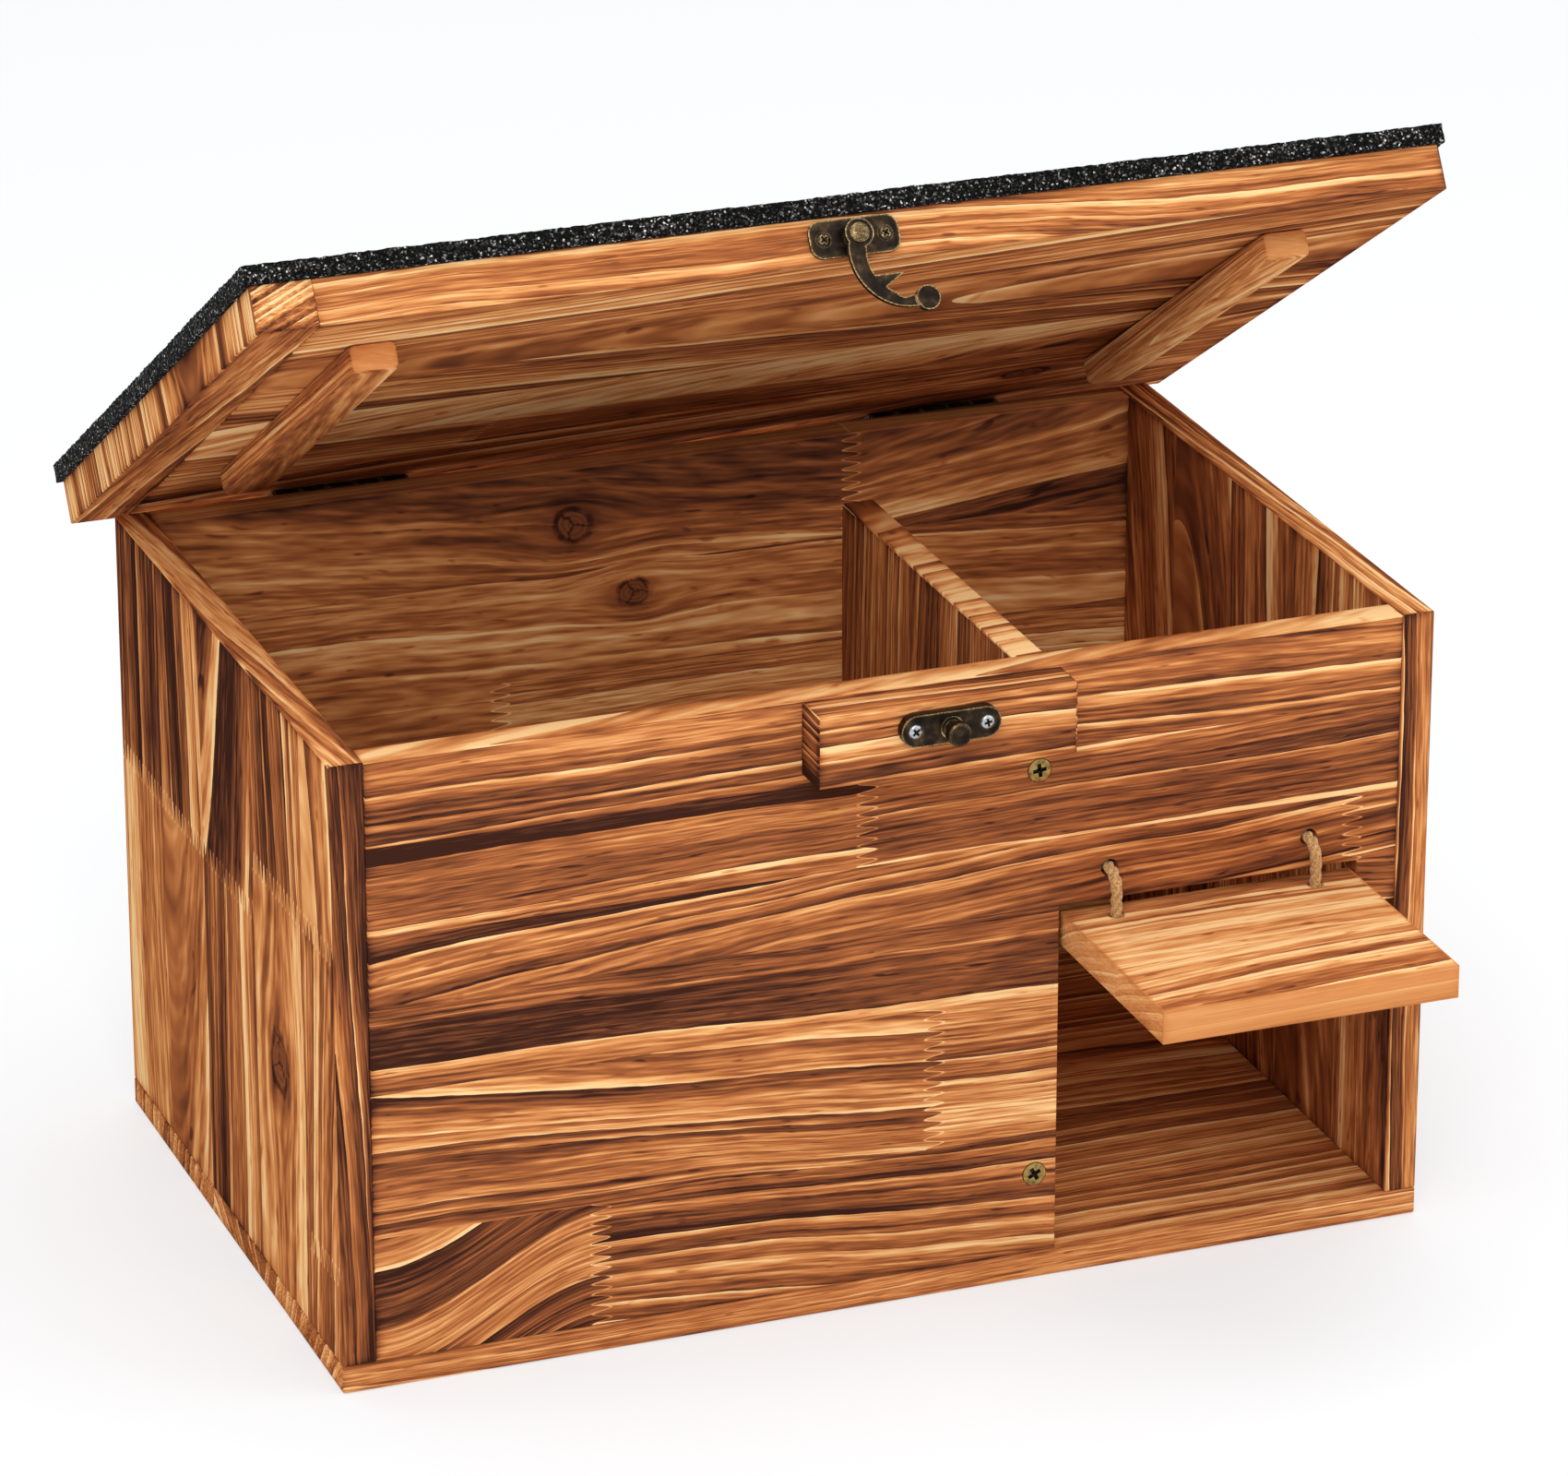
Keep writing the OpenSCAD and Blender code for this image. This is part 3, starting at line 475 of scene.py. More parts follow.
def settle(piece, place, body, node):
    """Turns a piece into place, and lets it stand for its CAD node on the node's body."""
    select(piece)
    piece.matrix_world = place
    apply_place()
    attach(piece, body)
    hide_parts(node)


# Boards

EASED_EDGE, LID_EDGE, BATTEN_EDGE = 0.7, 0.5, 2.2
END_STRIP = 21 * MM
ROPE_SIZE, ROPE_HOLE, HEAD_HOLE, HEAD_SINK = 4.25 * MM, 6.05 * MM, 8.7 * MM, 2.5 * MM
CUT_PAST = 2 * MM


def plank(name, low, high, axes, place=AS_BUILT, tools=(), edge=EASED_EDGE, **look):
    """A planed plank between two corners with its edges eased and its own run of grain, not yet turned into place."""
    piece = start_box(name + "_wood", low, high)
    cut_away(piece, tools)
    round_edges(piece, edge * MM)
    piece.data.materials.append(torched_pine(name + "_torched_pine", place, low, high, axes, **look))
    return piece


def board(node, body, axes, place=AS_BUILT, slot="torched_pine", **look):
    """A plank at its CAD node's size, which stands for it."""
    settle(plank(node, *node_box(node, place), axes, place, **look), place, body, node)


def lid_boards():
    """The lid's glued field, and a strip on its left end whose grain runs front to back."""
    low, high = node_box("lid_board", LID_OPEN)
    seam = low.x + END_STRIP
    # The lid darkens towards its rear, Y 95 to 122: painted shade on the underside's rear strip over the back panel
    field = plank("lid_board", Vector((seam, low.y, low.z)), high, "XYZ", LID_OPEN, edge=LID_EDGE, seed=43.8,
                  tone=0.19, contrast=1.25,
                  rows=((-142, 5, 0.0), (-96, 7, 0.0), (-48, 9, -0.06), (2, 6, 0.03), (46, 8, -0.05), (90, 6, 0.0)),
                  fingers=((4, -80, 7, 0.0),), knots=((138, 88, 7.0),), smoked=(("Y", 95, 122, 0.22),),
                  runs=(("Y", 0, "XZY", 4.4, 0.20, 1.0), ("X", 1, "ZYX", 3, 0.24, 1.5)))
    strip = plank("lid_end_strip", low, Vector((seam, high.y, high.z)), "YXZ", LID_OPEN, edge=LID_EDGE, seed=51.2,
                  tone=0.08, contrast=1.4,
                  runs=(("X", 0, "ZYX", 3, 0.28, 1.5), ("Y", 0, "YXZ", 2.4, 0.34, 1.6)))
    settle(join([field, strip]), LID_OPEN, "lid", "lid_board")


front_low, front_high = node_box("front_panel")
flap_low, flap_high = node_box("entrance_flap")
flap_axis_y = joints["flap_swing"]["pos_m"][1]
rope_boxes = [node_box("left_rope_tie"), node_box("right_rope_tie")]
rope_xs = [(low.x + high.x) / 2 for low, high in rope_boxes]
knot_size = rope_boxes[0][1].x - rope_boxes[0][0].x
rope_height = rope_boxes[0][1].z - knot_size / 2


def level_with(axis, value):
    """The front panel's corners that lie in a plane across an axis."""
    index = "xyz".index(axis)
    corners = [vertex.co for vertex in frame["nodes"]["front_panel"].data.vertices]
    return [corner for corner in corners if abs(corner[index] - value) < 0.05 * MM]


door_left = max(corner.x for corner in level_with("z", front_low.z))
door_top = min(corner.z for corner in level_with("x", front_high.x))
notch_top = max(corner.z for corner in level_with("x", door_left))
ear_left = max(corner.x for corner in level_with("z", notch_top))


def front_panel_tools():
    """The doorway, the notch over it for the flap, the rope holes, and the sinks of the two brass screws."""
    y0, y1 = front_low.y - CUT_PAST, front_high.y + CUT_PAST
    door_low = Vector((door_left, y0, front_low.z - CUT_PAST))
    yield start_box("doorway", door_low, Vector((front_high.x + CUT_PAST, y1, door_top)))
    yield start_box("notch", door_low, Vector((ear_left, y1, notch_top)))
    for x in rope_xs:
        yield start_rod("rope_hole", Vector((x, y0, rope_height)), Vector((x, y1, rope_height)), ROPE_HOLE)
    screws_low, screws_high = node_box("divider_front_screws")
    x = (screws_low.x + screws_high.x) / 2
    radius = (screws_high.x - screws_low.x) / 2
    for z in (screws_low.z + radius, screws_high.z - radius):
        yield start_rod("screw_sink", Vector((x, y0, z)), Vector((x, front_low.y + HEAD_SINK, z)), HEAD_HOLE)


def flap_tools():
    """The two rope holes of the flap."""
    for x in rope_xs:
        yield start_rod("rope_hole", Vector((x, flap_axis_y, flap_low.z - CUT_PAST)),
                        Vector((x, flap_axis_y, flap_high.z + CUT_PAST)), ROPE_HOLE)


board("front_panel", "house", "XZY", tools=list(front_panel_tools()), seed=6.4, tone=0.03,
      rows=((10, 9, -0.02), (56, 3.8, -0.02), (109, 10, -0.04), (141, 5, 0.05), (166, 11, -0.20), (199, 8, -0.16)),
      fingers=((0, -107, 3.4, 0.03), (1, 15, 6, 0.16), (3, 171, 5, 0.0), (4, -10, 9, -0.02)),
      sways=((0, -190, -105, 34),), smoked=(("X", -30, 40, -0.05),),
      runs=(("Z", 1, "XYZ", 4.4, 0.40, 1.3),))
board("left_side_panel", "house", "ZYX", seed=14.1, rift=28.0, tone=0.175, contrast=1.3,
      rows=((-126, 5, -0.04), (-92, 9, 0.02), (-35, 8, -0.03), (25, 9, 0.08), (75, 8, 0.06)),
      fingers=((0, 43, 5, 0.08), (0, 161, 3.6, -0.06), (1, 161, 6, -0.08), (2, 141, 5, -0.22), (3, 141, 5, -0.18),
               (4, 141, 6, -0.16)),
      knots=((96, -61, 9.0),), smoked=(("Z", 138, 165, 0.10),),
      runs=(("Z", 1, "YXZ", 4.4, 0.34, 1.3), ("Y", 0, "ZXY", 4.4, -0.15, 1.2)))
board("right_side_panel", "house", "ZYX", seed=17.9, rift=40.0, tone=0.06, contrast=1.1,
      rows=((-126, 6, 0.0), (-80, 5, 0.05), (-30, 8, -0.02), (20, 6, 0.0), (70, 7, 0.04)),
      fingers=((1, 92, 4, 0.0), (2, 150, 5, 0.06), (3, 70, 4.5, 0.0)), knots=((62, 44, 7.5),),
      runs=(("Z", 1, "YXZ", 4.4, 0.34, 1.3), ("Y", 0, "ZXY", 4.4, 0.12, 1.2)))
board("back_panel", "house", "XZY", seed=23.1, tone=0.21, contrast=1.0,
      rows=((10, 5, 0.0), (48, 6, 0.03), (92, 5, -0.03), (150, 7, 0.0), (190, 6, -0.02)),
      fingers=((4, 77, 5, -0.15), (2, -60, 4, 0.03)), knots=((-31, 208, 6.0), (-8, 179, 5.2)),
      faces=(("Z", 1, 0.7, 0.6),))
board("divider_panel", "house", "ZYX", seed=29.6, tone=0.05, contrast=0.85,
      rows=((-114, 4, 0.0), (-70, 5, -0.03), (-20, 4, 0.02)),
      runs=(("Z", 1, "XYZ", 2.6, 0.36, 1.6),))
board("base_board", "house", "XYZ", seed=31.3, tone=0.16, contrast=0.9, scorch=0.18,
      rows=((-126, 5, 0.0), (-78, 6, 0.02), (-30, 5, -0.02), (25, 6, 0.02), (80, 5, 0.0)))
board("catch_block", "house", "XZY", seed=37.7, tone=0.25, contrast=1.4, scorch=0.42,
      runs=(("X", 0, "YZX", 2.4, -0.02, 1.5), ("X", 1, "YZX", 2.4, -0.02, 1.5)))
board("entrance_flap", "flap", "XYZ", tools=list(flap_tools()), seed=41.2, tone=0.375, contrast=1.45, scorch=0.12,
      rows=((-213, 5, 0.0), (-172, 4.5, 0.0)),
      faces=(("Y", 0, 0.74, 0.85), ("X", 0, 0.74, 0.6), ("X", 1, 0.74, 0.6)))
lid_boards()
for side, seed in (("left", 51.0), ("right", 52.0)):
    board(side + "_lid_batten", "lid", "YXZ", place=LID_OPEN, edge=BATTEN_EDGE, slot="plain_pine", seed=seed,
          tone=0.22, contrast=1.1, scorch=0.1, faces=(("Y", 0, 0.76, 0.8), ("Y", 1, 0.76, 0.8)))


# Roofing felt. Grit, dust and cells of the mesh are in millimetres.

GRIT, DUST = 0.6, 40
FELT_CELL = 1.3
RIM_STEPS = 3
# Grit that stands proud, coarser than real because the mesh is, and soft waves of the sheet, as (size, height)
FELT_RELIEF = ((1.8, 1.1), (12.0, 0.5))


def roofing_felt():
    """Mineral roofing felt: bitumen black under crushed slate, matt, with a few pale chips among the black."""
    material, add = new_material("mineral_roofing_felt")
    at = in_millimetres(add)
    chips = add("TexVoronoi", Vector=at, Scale=1 / GRIT, feature="F1")
    pick = add("SeparateColor", chips.outputs["Color"])
    colour = add("ValToRGB", pick.outputs[0],
                 stops=((0.0, "#030303"), (0.5, "#0B0B0B"), (0.75, "#1C1B1B"), (0.9, "#454341"), (0.97, "#8A8783"),
                        (1.0, "#E2DFD9")))
    dust = add("TexNoise", Vector=at, Scale=1 / DUST, Detail=3.0)
    shade = add("MapRange", Value=dust, From_Min=0.3, From_Max=0.7, To_Min=0.75, To_Max=1.2)
    colour = add("MixRGB", 1.0, colour, shade, blend_type="MULTIPLY")
    relief = add("Bump", Strength=0.8, Distance=GRIT * MM, Height=chips.outputs["Distance"], invert=True)
    skin = add("BsdfPrincipled", Base_Color=colour, Roughness=0.9, Normal=relief, Specular_IOR_Level=0.08)
    add("OutputMaterial", skin)
    return material


def felt_sheet():
    """A dense sheet with its rim turned down, roughened by its grit."""
    low, high = node_box("roof_felt", LID_OPEN)
    size, middle = high - low, (low + high) / 2
    select()
    bpy.ops.mesh.primitive_grid_add(x_subdivisions=int(size.x / MM / FELT_CELL),
                                    y_subdivisions=int(size.y / MM / FELT_CELL), size=1.0,
                                    location=(middle.x, middle.y, high.z))
    felt = call(bpy.context.object, "roof_felt_sheet")
    felt.scale = (size.x, size.y, 1.0)
    apply_place()
    bpy.ops.object.mode_set(mode="EDIT")
    bpy.ops.mesh.select_all(action="SELECT")
    bpy.ops.mesh.region_to_loop()
    for _ in range(RIM_STEPS):
        bpy.ops.mesh.extrude_region_move(TRANSFORM_OT_translate={"value": (0, 0, -size.z / RIM_STEPS)})
    bpy.ops.mesh.edge_face_add()
    bpy.ops.mesh.select_all(action="SELECT")
    bpy.ops.mesh.normals_make_consistent(inside=False)
    bpy.ops.object.mode_set(mode="OBJECT")
    for grain, height in FELT_RELIEF:
        texture = bpy.data.textures.new("felt_grit", "CLOUDS")
        texture.noise_scale = grain * MM
        rough = felt.modifiers.new("grit", "DISPLACE")
        rough.texture, rough.strength, rough.mid_level = texture, height * MM, 0.5
        bpy.ops.object.modifier_apply(modifier=rough.name)
    bpy.ops.object.shade_smooth()
    felt.data.materials.append(roofing_felt())
    settle(felt, LID_OPEN, "lid", "roof_felt")


felt_sheet()


# Metalwork. Patterns are in millimetres.

RUBBED_WIDTH, STAIN, CASTING_GRIT, CASTING_RELIEF = 0.9, 4, 0.5, 0.1
PLATING_MOTTLE, BEECH_FLECK = 2, 12


def antique_bronze(name="antique_bronze", handled=0.0):
    """Cast zinc plated in antique bronze: nearly black on its faces, and rubbed to bright brass along its edges.
    Handled is how far the faces are rubbed too. The grit is drawn coarser than a casting's, so that it shows."""
    material, add = new_material(name)
    at = in_millimetres(add)
    stain = add("TexNoise", Vector=at, Scale=1 / STAIN, Detail=4.0)
    grit = add("TexNoise", Vector=at, Scale=1 / CASTING_GRIT, Detail=2.0)
    turn = add("VectorMath:DOT_PRODUCT", add("Bevel", RUBBED_WIDTH * MM, samples=6),
               add("NewGeometry").outputs["True Normal"]).outputs["Value"]
    edge = add("MapRange", Value=turn, From_Min=0.99, From_Max=0.80)
    rub = add("MapRange", Value=add("Math:ADD", stain, grit), From_Min=0.75, From_Max=1.15, To_Min=0.35, To_Max=1.1)
    worn = add("Math:MULTIPLY", add("Math:MAXIMUM", edge, handled), rub, use_clamp=True)
    dark = add("ValToRGB", stain, stops=((0.3, "#15100D"), (0.55, "#2E241B"), (0.75, "#57442C")))
    bright = add("ValToRGB", grit, stops=((0.3, "#8F6C3B"), (0.5, "#CFA968"), (0.7, "#F5E4B8")))
    colour = add("MixRGB", worn, dark, bright)
    rough = add("MapRange", Value=worn, To_Min=0.42, To_Max=0.26)
    relief = add("Bump", Strength=0.2, Distance=CASTING_RELIEF * MM, Height=grit)
    skin = add("BsdfPrincipled", Base_Color=colour, Metallic=0.9, Roughness=rough, Normal=relief)
    add("OutputMaterial", skin)
    return material


def plated_steel(name, dark, bright, roughness):
    """Plated steel of a screw: satin, and mottled between two shades where the plating is thin and thick."""
    material, add = new_material(name)
    mottle = add("TexNoise", Vector=in_millimetres(add), Scale=1 / PLATING_MOTTLE, Detail=3.0)
    colour = add("ValToRGB", mottle, stops=((0.3, dark), (0.7, bright)))
    add("OutputMaterial", add("BsdfPrincipled", Base_Color=colour, Metallic=1.0, Roughness=roughness))
    return material


def painted_shade_recess():
    """The recess of a driven screw, painted nearly black as shade, so the cross reads from afar."""
    material, add = new_material("painted_shade_screw_recess")
    shade_mottle = add("TexNoise", Vector=in_millimetres(add), Scale=1 / CASTING_GRIT)
    # Nearly black with a faint mottle: painted shade in the recess
    colour = add("ValToRGB", shade_mottle, stops=((0.3, "#0C0A08"), (0.7, "#2A241C")))
    add("OutputMaterial", add("BsdfPrincipled", Base_Color=colour, Metallic=0.6, Roughness=0.5))
    return material


def beech_dowel():
    """Fluted beech dowel: pale, fine and plain."""
    material, add = new_material("beech_dowel")
    along_grain = add("VectorMath:MULTIPLY", in_millimetres(add), (1 / BEECH_FLECK, 1.0, 1.0))
    fleck = add("TexNoise", Vector=along_grain, Scale=1.0, Detail=2.0)
    colour = add("ValToRGB", fleck, stops=((0.3, "#C69A68"), (0.7, "#E3C091")))
    add("OutputMaterial", add("BsdfPrincipled", Base_Color=colour, Roughness=0.6))
    return material


BRONZE, RECESS_SHADE, BEECH = antique_bronze(), painted_shade_recess(), beech_dowel()
# Clear zinc is cool grey and bright, and yellow passivated zinc brassy
ZINC = plated_steel("zinc_plated_steel", "#8E9093", "#C9CBCD", 0.3)
YELLOW_ZINC = plated_steel("yellow_passivated_steel", "#6F5A2F", "#BE9F5E", 0.34)

MERGED, SLIVER, FLAT = 0.002 * MM, 0.1 * MM, math.radians(1.0)


def merged_copy(node, name):
    """A copy of a CAD node with its loose triangles merged, open in edit mode and all selected."""
    piece = bpy.data.objects.new(name, frame["nodes"][node].data.copy())
    bpy.context.scene.collection.objects.link(piece)
    select(piece)
    bpy.ops.object.mode_set(mode="EDIT")
    bpy.ops.mesh.select_all(action="SELECT")
    bpy.ops.mesh.remove_doubles(threshold=MERGED)
    return piece


def cast_piece(node, body, edge, segments=2, shape=None):
    """A CAD node's casting, drawn to shape and with its edges rounded."""
    piece = merged_copy(node, node + "_worn")
    bpy.ops.mesh.dissolve_limited(angle_limit=FLAT)
    bpy.ops.mesh.dissolve_degenerate(threshold=SLIVER)
    bpy.ops.object.mode_set(mode="OBJECT")
    piece.data.materials.clear()
    piece.data.materials.append(BRONZE)
    if shape:
        shape(piece.data)
    round_edges(piece, edge * MM, segments, CAST_SHARP, CAST_SHARP)
    settle(piece, AS_BUILT, body, node)


# The hook's arm: the middle of its arc from the rivet, its radius and width, its sweep from the eye to the thumb
# disc, and its share of that width at each
ARM_MIDDLE, ARM_RADIUS, ARM_WIDTH = Vector((15.31, 0, -7.93)) * MM, 17.24 * MM, 4.6 * MM
ARM_START, ARM_SWEEP = math.radians(152.6), math.radians(131.4)
ARM_AT_EYE, ARM_AT_THUMB = 1.45, 0.72


def draw_out(mesh):
    """Tapers the hook's arm from the eye to the thumb disc, as a cast one is."""
    shut = LID_OPEN.inverted()
    low, high = node_box("hook_rivet", LID_OPEN)
    middle = (low + high) / 2 + ARM_MIDDLE
    for vertex in mesh.vertices:
        place = shut @ vertex.co
        out = Vector((place.x - middle.x, 0, place.z - middle.z))
        share = (math.atan2(out.z, out.x) % (2 * math.pi) - ARM_START) / ARM_SWEEP
        aside = out.length - ARM_RADIUS
        if 0 < share < 1 and abs(aside) < ARM_WIDTH / 2 + 0.05 * MM:
            taper = ARM_AT_EYE + (ARM_AT_THUMB - ARM_AT_EYE) * share
            vertex.co = LID_OPEN @ (place + out.normalized() * aside * (taper - 1))


cast_piece("hook_plate", "lid", 0.35)
cast_piece("latch_hook", "hook", 0.45, segments=3, shape=draw_out)
cast_piece("catch_plate", "house", 0.6, segments=3)
for side in ("left", "right"):
    cast_piece(side + "_hinge_body_leaf", "house", 0.2)
    cast_piece(side + "_hinge_lid_leaf", "lid", 0.2)


def turned(outline, material, corners=SCREW_CORNERS):
    """A turned piece up the Z axis, drawn out step by step from its lowest (height, radius) to its highest."""
    select()
    (height, radius), *steps = outline
    bpy.ops.mesh.primitive_circle_add(vertices=corners, radius=radius, fill_type="NGON", location=(0, 0, height))
    apply_place()
    bpy.ops.object.mode_set(mode="EDIT")
    bpy.ops.mesh.select_all(action="SELECT")
    for next_height, next_radius in steps:
        bpy.ops.mesh.extrude_region_move(TRANSFORM_OT_translate={"value": (0, 0, next_height - height)})
        share = next_radius / radius
        bpy.ops.transform.resize(value=(share, share, 1.0))
        height, radius = next_height, next_radius
    bpy.ops.mesh.select_all(action="SELECT")
    bpy.ops.mesh.normals_make_consistent(inside=False)
    bpy.ops.object.mode_set(mode="OBJECT")
    piece = bpy.context.object
    piece.data.materials.append(material)
    bpy.ops.object.shade_smooth_by_angle(angle=SMOOTH)
    return piece


def face_front(piece, x, y, z):
    """Turns a piece from the Z axis to the front, with its origin at that place."""
    select(piece)
    piece.matrix_world = Matrix.Translation((x, y, z)) @ Matrix.Rotation(math.radians(90), 4, "X")
    apply_place()
    return piece


def turned_fitting(node, body, place, material, outline):
    """A turned piece of the catch, with its lowest height at the back of its CAD node."""
    low, high = node_box(node, place)
    piece = turned([(height * MM, radius * MM) for height, radius in outline], material, FITTING_CORNERS)
    call(piece, node + "_turned")
    face_front(piece, (low.x + high.x) / 2, high.y + outline[0][0] * MM, (low.z + high.z) / 2)
    settle(piece, place, body, node)


# Rivet: shank in the plate, collar behind the hook, then a domed head; heights and radii in millimetres
turned_fitting("hook_rivet", "lid", LID_OPEN, antique_bronze("rubbed_bronze", handled=0.3), (
    (0.0, 2.0), (1.4, 2.0), (1.4, 4.0), (4.65, 4.0), (4.65, 2.0), (6.95, 2.0), (6.95, 3.1), (7.05, 3.4), (7.25, 3.4),
    (7.6, 3.1), (7.9, 2.4), (8.05, 1.5), (8.1, 0.6)))
# Stud: shank in the block, thin collar, neck, and a knob with rounded rims
turned_fitting("catch_stud", "house", AS_BUILT, BRONZE, (
    (-8.0, 1.5), (0.0, 1.5), (0.0, 4.0), (0.3, 4.1), (0.4, 3.2), (0.5, 2.6), (4.2, 2.6), (4.2, 3.7), (4.6, 4.2),
    (7.6, 4.2), (8.1, 3.8), (8.2, 3.5), (8.2, 1.0)))

# A countersunk screw in widths of its head: the radii of its tip and shank, the length of its point, the depth of
# the countersink and its rim, then the cross of the recess as length, width and depth, and the cone in its middle
SCREW_TIP, SCREW_SHANK, SCREW_POINT, SCREW_SINK, SCREW_RIM = 0.08, 0.24, 0.3, 0.28, 0.05
CROSS = Vector((0.58, 0.17, 0.3))
CONE_TIP, CONE_MOUTH, CONE_DEPTH = 0.06, 0.22, 0.5


def cross_head_screw(low, high, material, crown, turn):
    """A countersunk screw that points back from its head, with a cross recess."""
    head, length, middle = high.x - low.x, high.y - low.y, (low + high) / 2
    tip, shank, rim = crown - length, SCREW_SHANK * head, SCREW_RIM * head
    screw = turned([(tip, SCREW_TIP * head), (tip + SCREW_POINT * head, shank), (-SCREW_SINK * head - rim, shank),
                    (-rim, 0.5 * head), (0.0, 0.49 * head), (crown * 0.6, 0.42 * head), (crown, 0.28 * head)],
                   material)
    tools = []
    for angle in (turn, turn + math.pi / 2):
        select()
        bpy.ops.mesh.primitive_cube_add(size=1.0, scale=CROSS * head, location=(0, 0, crown), rotation=(0, 0, angle))
        apply_place()
        tools.append(bpy.context.object)
    select()
    bpy.ops.mesh.primitive_cone_add(vertices=24, radius1=CONE_TIP * head, radius2=CONE_MOUTH * head,
                                    depth=CONE_DEPTH * head, location=(0, 0, crown))
    apply_place()
    tools.append(bpy.context.object)
    for tool in tools:
        tool.data.materials.append(RECESS_SHADE)
    cut_away(screw, tools, "TRANSFER")
    select(screw)
    bpy.ops.object.shade_smooth_by_angle(angle=SMOOTH)
    return face_front(screw, middle.x, low.y + crown, middle.z)


def screw_set(node, body, material, crown, turns):
    """The screws of a CAD node that show, each driven to its own angle, as one piece."""
    place = LID_OPEN if body == "lid" else AS_BUILT
    merged_copy(node, node + "_copy")
    bpy.ops.mesh.separate(type="LOOSE")
    bpy.ops.object.mode_set(mode="OBJECT")
    copies = list(bpy.context.selected_objects)
    boxes = [corners_of(copy.data, place) for copy in copies]
    for copy in copies:
        bpy.data.objects.remove(copy)
    screws = [cross_head_screw(*box, material, crown, turn) for box, turn in zip(boxes, turns)]
    settle(call(join(screws), node + "_driven"), place, body, node)


screw_set("divider_front_screws", "house", YELLOW_ZINC, 0.1 * MM, (0.15, 0.5))
screw_set("catch_plate_screws", "house", ZINC, 0.6 * MM, (0.7, 0.2))
screw_set("hook_plate_screws", "lid", BRONZE, 0.6 * MM, (0.6, 0.9))

# Fixings that keep their CAD shape
for material, nodes in (
        (BRONZE, ("hinge_body_screws", "hinge_lid_screws", "left_hinge_pin", "right_hinge_pin")),
        (ZINC, ("base_screws", "divider_base_screws", "block_screws", "batten_screws")),
        (BEECH, ("front_dowels", "back_dowels"))):
    for node in nodes:
        frame["nodes"][node].data.materials.clear()
        frame["nodes"][node].data.materials.append(material)


# Rope ties

ROPE_BEND, TWIST = 6.4 * MM, 13 * MM
# Where it is tied the rope is pulled thinner, and the knot's path keeps inside its place
TIED_SIZE, TIED_TWIST, TIED_INSIDE = 3.6 * MM, 9 * MM, 3.4 * MM
# Strands, their radius and their distance from the rope's middle in sizes of the rope
STRANDS, STRAND_RADIUS, STRAND_ASIDE = 3, 0.27, 0.24
OUT_STEPS, BEND_STEPS, DOWN_STEPS, TREFOIL_STEPS = 12, 16, 16, 60
JUTE_HAIR = 0.6


def jute():
    """Three-strand jute: straw brown, dry and hairy. The hair is drawn coarser than real, so that it shows."""
    material, add = new_material("jute_rope")
    hair = add("TexNoise", Vector=in_millimetres(add), Scale=1 / JUTE_HAIR, Detail=3.0)
    colour = add("ValToRGB", hair, stops=((0.25, "#6F4A25"), (0.5, "#B98A50"), (0.8, "#E4C48B")))
    relief = add("Bump", Strength=0.6, Distance=0.3 * MM, Height=hair)
    skin = add("BsdfPrincipled", Base_Color=colour, Roughness=0.9, Normal=relief, Sheen_Weight=0.25)
    add("OutputMaterial", skin)
    return material


JUTE = jute()


def laid_rope(points, size, twist):
    """Three strands wound round a path of close points, as one mesh."""
    lengths = [0.0]
    for a, b in zip(points, points[1:]):
        lengths.append(lengths[-1] + (b - a).length)
    side = (points[1] - points[0]).orthogonal().normalized()
    sections = []
    for i, point in enumerate(points):
        ahead = (points[min(i + 1, len(points) - 1)] - points[max(i - 1, 0)]).normalized()
        side = (side - ahead * side.dot(ahead)).normalized()
        sections.append((point, side, ahead.cross(side)))
    strands = []
    for start in range(STRANDS):
        curve = bpy.data.curves.new("strand", "CURVE")
        curve.dimensions, curve.bevel_depth, curve.bevel_resolution = "3D", size * STRAND_RADIUS, 2
        curve.use_fill_caps = True
        spline = curve.splines.new("POLY")
        spline.points.add(len(points) - 1)
        for stop, (point, side, other), length in zip(spline.points, sections, lengths):
            turn = 2 * math.pi * (length / twist + start / STRANDS)
            aside = (side * math.cos(turn) + other * math.sin(turn)) * size * STRAND_ASIDE
            stop.co = (*(point + aside), 1.0)
        strand = bpy.data.objects.new("strand", curve)
        bpy.context.scene.collection.objects.link(strand)
        strands.append(strand)
    select(*strands)
    bpy.ops.object.convert(target="MESH")
    return join(strands)


def trefoil(middle, size):
    """The closed path of an overhand knot pulled tight."""
    for i in range(TREFOIL_STEPS + 1):
        t = 2 * math.pi * i / TREFOIL_STEPS
        yield middle + Vector((math.sin(t) + 2 * math.sin(2 * t), math.cos(t) - 2 * math.cos(2 * t),
                               -1.4 * math.sin(3 * t))) * (size / 6)


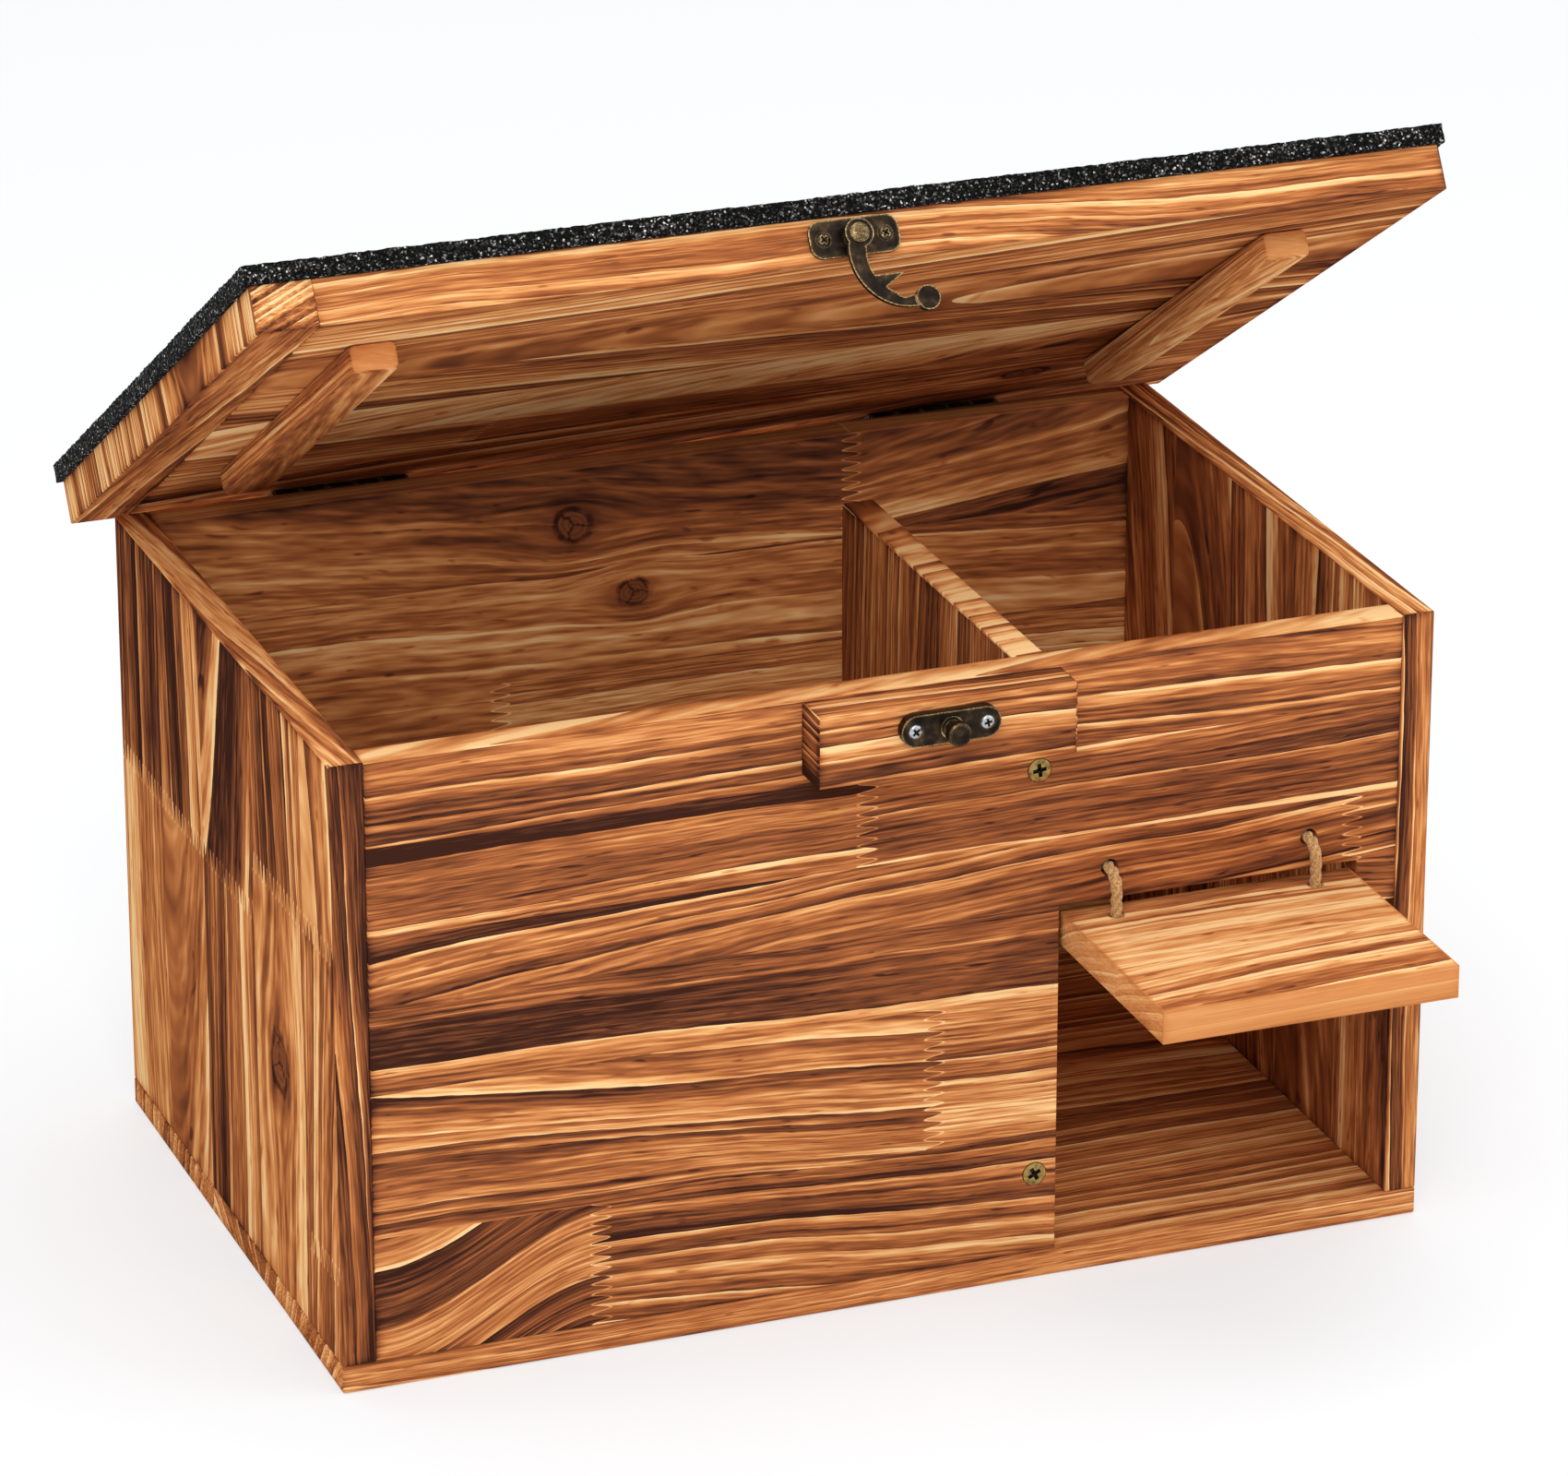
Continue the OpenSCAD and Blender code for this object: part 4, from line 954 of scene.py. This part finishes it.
def rope_tie(node, x):
    """Knotted behind the panel, out through it, over a bend and down through the flap to a second knot."""
    low, high = node_box(node)
    back_knot = Vector((x, high.y - knot_size / 2, rope_height))
    low_knot = Vector((x, flap_axis_y, low.z + knot_size / 2))
    way_out = Vector((x, front_low.y, rope_height))
    path = [back_knot.lerp(way_out, i / OUT_STEPS) for i in range(OUT_STEPS)]
    for i in range(BEND_STEPS + 1):
        turn = math.pi / 2 * i / BEND_STEPS
        path.append(way_out - Vector((0, math.sin(turn), 1 - math.cos(turn))) * ROPE_BEND)
    bend_end = path[-1]
    path += [bend_end.lerp(low_knot, i / DOWN_STEPS) for i in range(1, DOWN_STEPS + 1)]
    pieces = [laid_rope(path, ROPE_SIZE, TWIST)]
    for middle in (back_knot, low_knot):
        pieces.append(laid_rope(list(trefoil(middle, knot_size - TIED_INSIDE)), TIED_SIZE, TIED_TWIST))
    tie = call(join(pieces), node + "_jute")
    tie.data.materials.clear()
    tie.data.materials.append(JUTE)
    bpy.ops.object.shade_smooth()
    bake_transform(tie)
    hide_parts(node)


for node, x in zip(("left_rope_tie", "right_rope_tie"), rope_xs):
    rope_tie(node, x)


# Studio, in metres and watts

# The floor lies just under the base board, so that the two faces don't fight
FLOOR_SIZE, FLOOR_DROP = 30.0, 0.2 * MM
WORLD_LIGHT = 0.72
LAMP_AIM = Vector((0, 0, 0.15))
# Name, place, width and power
SOFTBOXES = (("key", (-1.1, -2.4, 2.2), 1.6, 46.0), ("fill", (2.4, -1.4, 1.6), 2.0, 14.0),
             ("top", (0.2, 0.2, 2.8), 2.0, 24.0))
EYE, EYE_TILT, EYE_TURN = (-0.8813, -2.3460, 1.1872), math.radians(67.78), math.radians(-20.75)
LENS, SENSOR = 175.55, 36.0


def background_ray(add):
    """One where the background is looked at, straight on or in a mirror, and nought where it gives light."""
    ray = add("LightPath")
    return add("Math:MAXIMUM", ray.outputs["Is Camera Ray"],
               add("Math:MAXIMUM", ray.outputs["Is Glossy Ray"], ray.outputs["Is Transmission Ray"]))


def studio():
    """A white floor that keeps a soft shadow, a white surround and large soft lamps."""
    select()
    bpy.ops.mesh.primitive_plane_add(size=FLOOR_SIZE, location=(0, 0, -FLOOR_DROP))
    floor = bpy.context.object
    floor.name = "studio_floor"
    material, add = new_material("white_paper_floor")
    skin = add("BsdfPrincipled", Base_Color=linear("#F0F3F6"), Roughness=0.9, Specular_IOR_Level=0.1)
    shown = add("Math:MULTIPLY", background_ray(add), 0.5)
    add("OutputMaterial", add("MixShader", shown, skin, add("Emission", linear("#FFFFFF"), 1.0)))
    floor.data.materials.append(material)

    world = bpy.data.worlds.new("white_studio")
    bpy.context.scene.world = world
    world.use_nodes = True
    world.node_tree.nodes.clear()
    add = partial(add_node, world.node_tree)
    strength = add("MapRange", Value=background_ray(add), To_Min=WORLD_LIGHT)
    add("OutputWorld", add("Background", linear("#FFFFFF"), strength))

    for name, place, width, power in SOFTBOXES:
        bpy.ops.object.light_add(type="AREA", location=place)
        lamp = bpy.context.object
        lamp.name = name + "_softbox"
        lamp.data.shape, lamp.data.size, lamp.data.energy = "SQUARE", width, power
        lamp.rotation_euler = (LAMP_AIM - Vector(place)).to_track_quat("-Z", "Y").to_euler()


def camera():
    """Stands where the photograph was taken: long lens, to the left, looking down at the house."""
    bpy.ops.object.camera_add(location=EYE, rotation=(EYE_TILT, 0.0, EYE_TURN))
    eye = bpy.context.object
    eye.data.sensor_fit, eye.data.sensor_width, eye.data.lens = "HORIZONTAL", SENSOR, LENS
    eye.data.clip_end = 100.0
    bpy.context.scene.camera = eye


studio()
camera()
bpy.context.scene.view_settings.view_transform = "Standard"
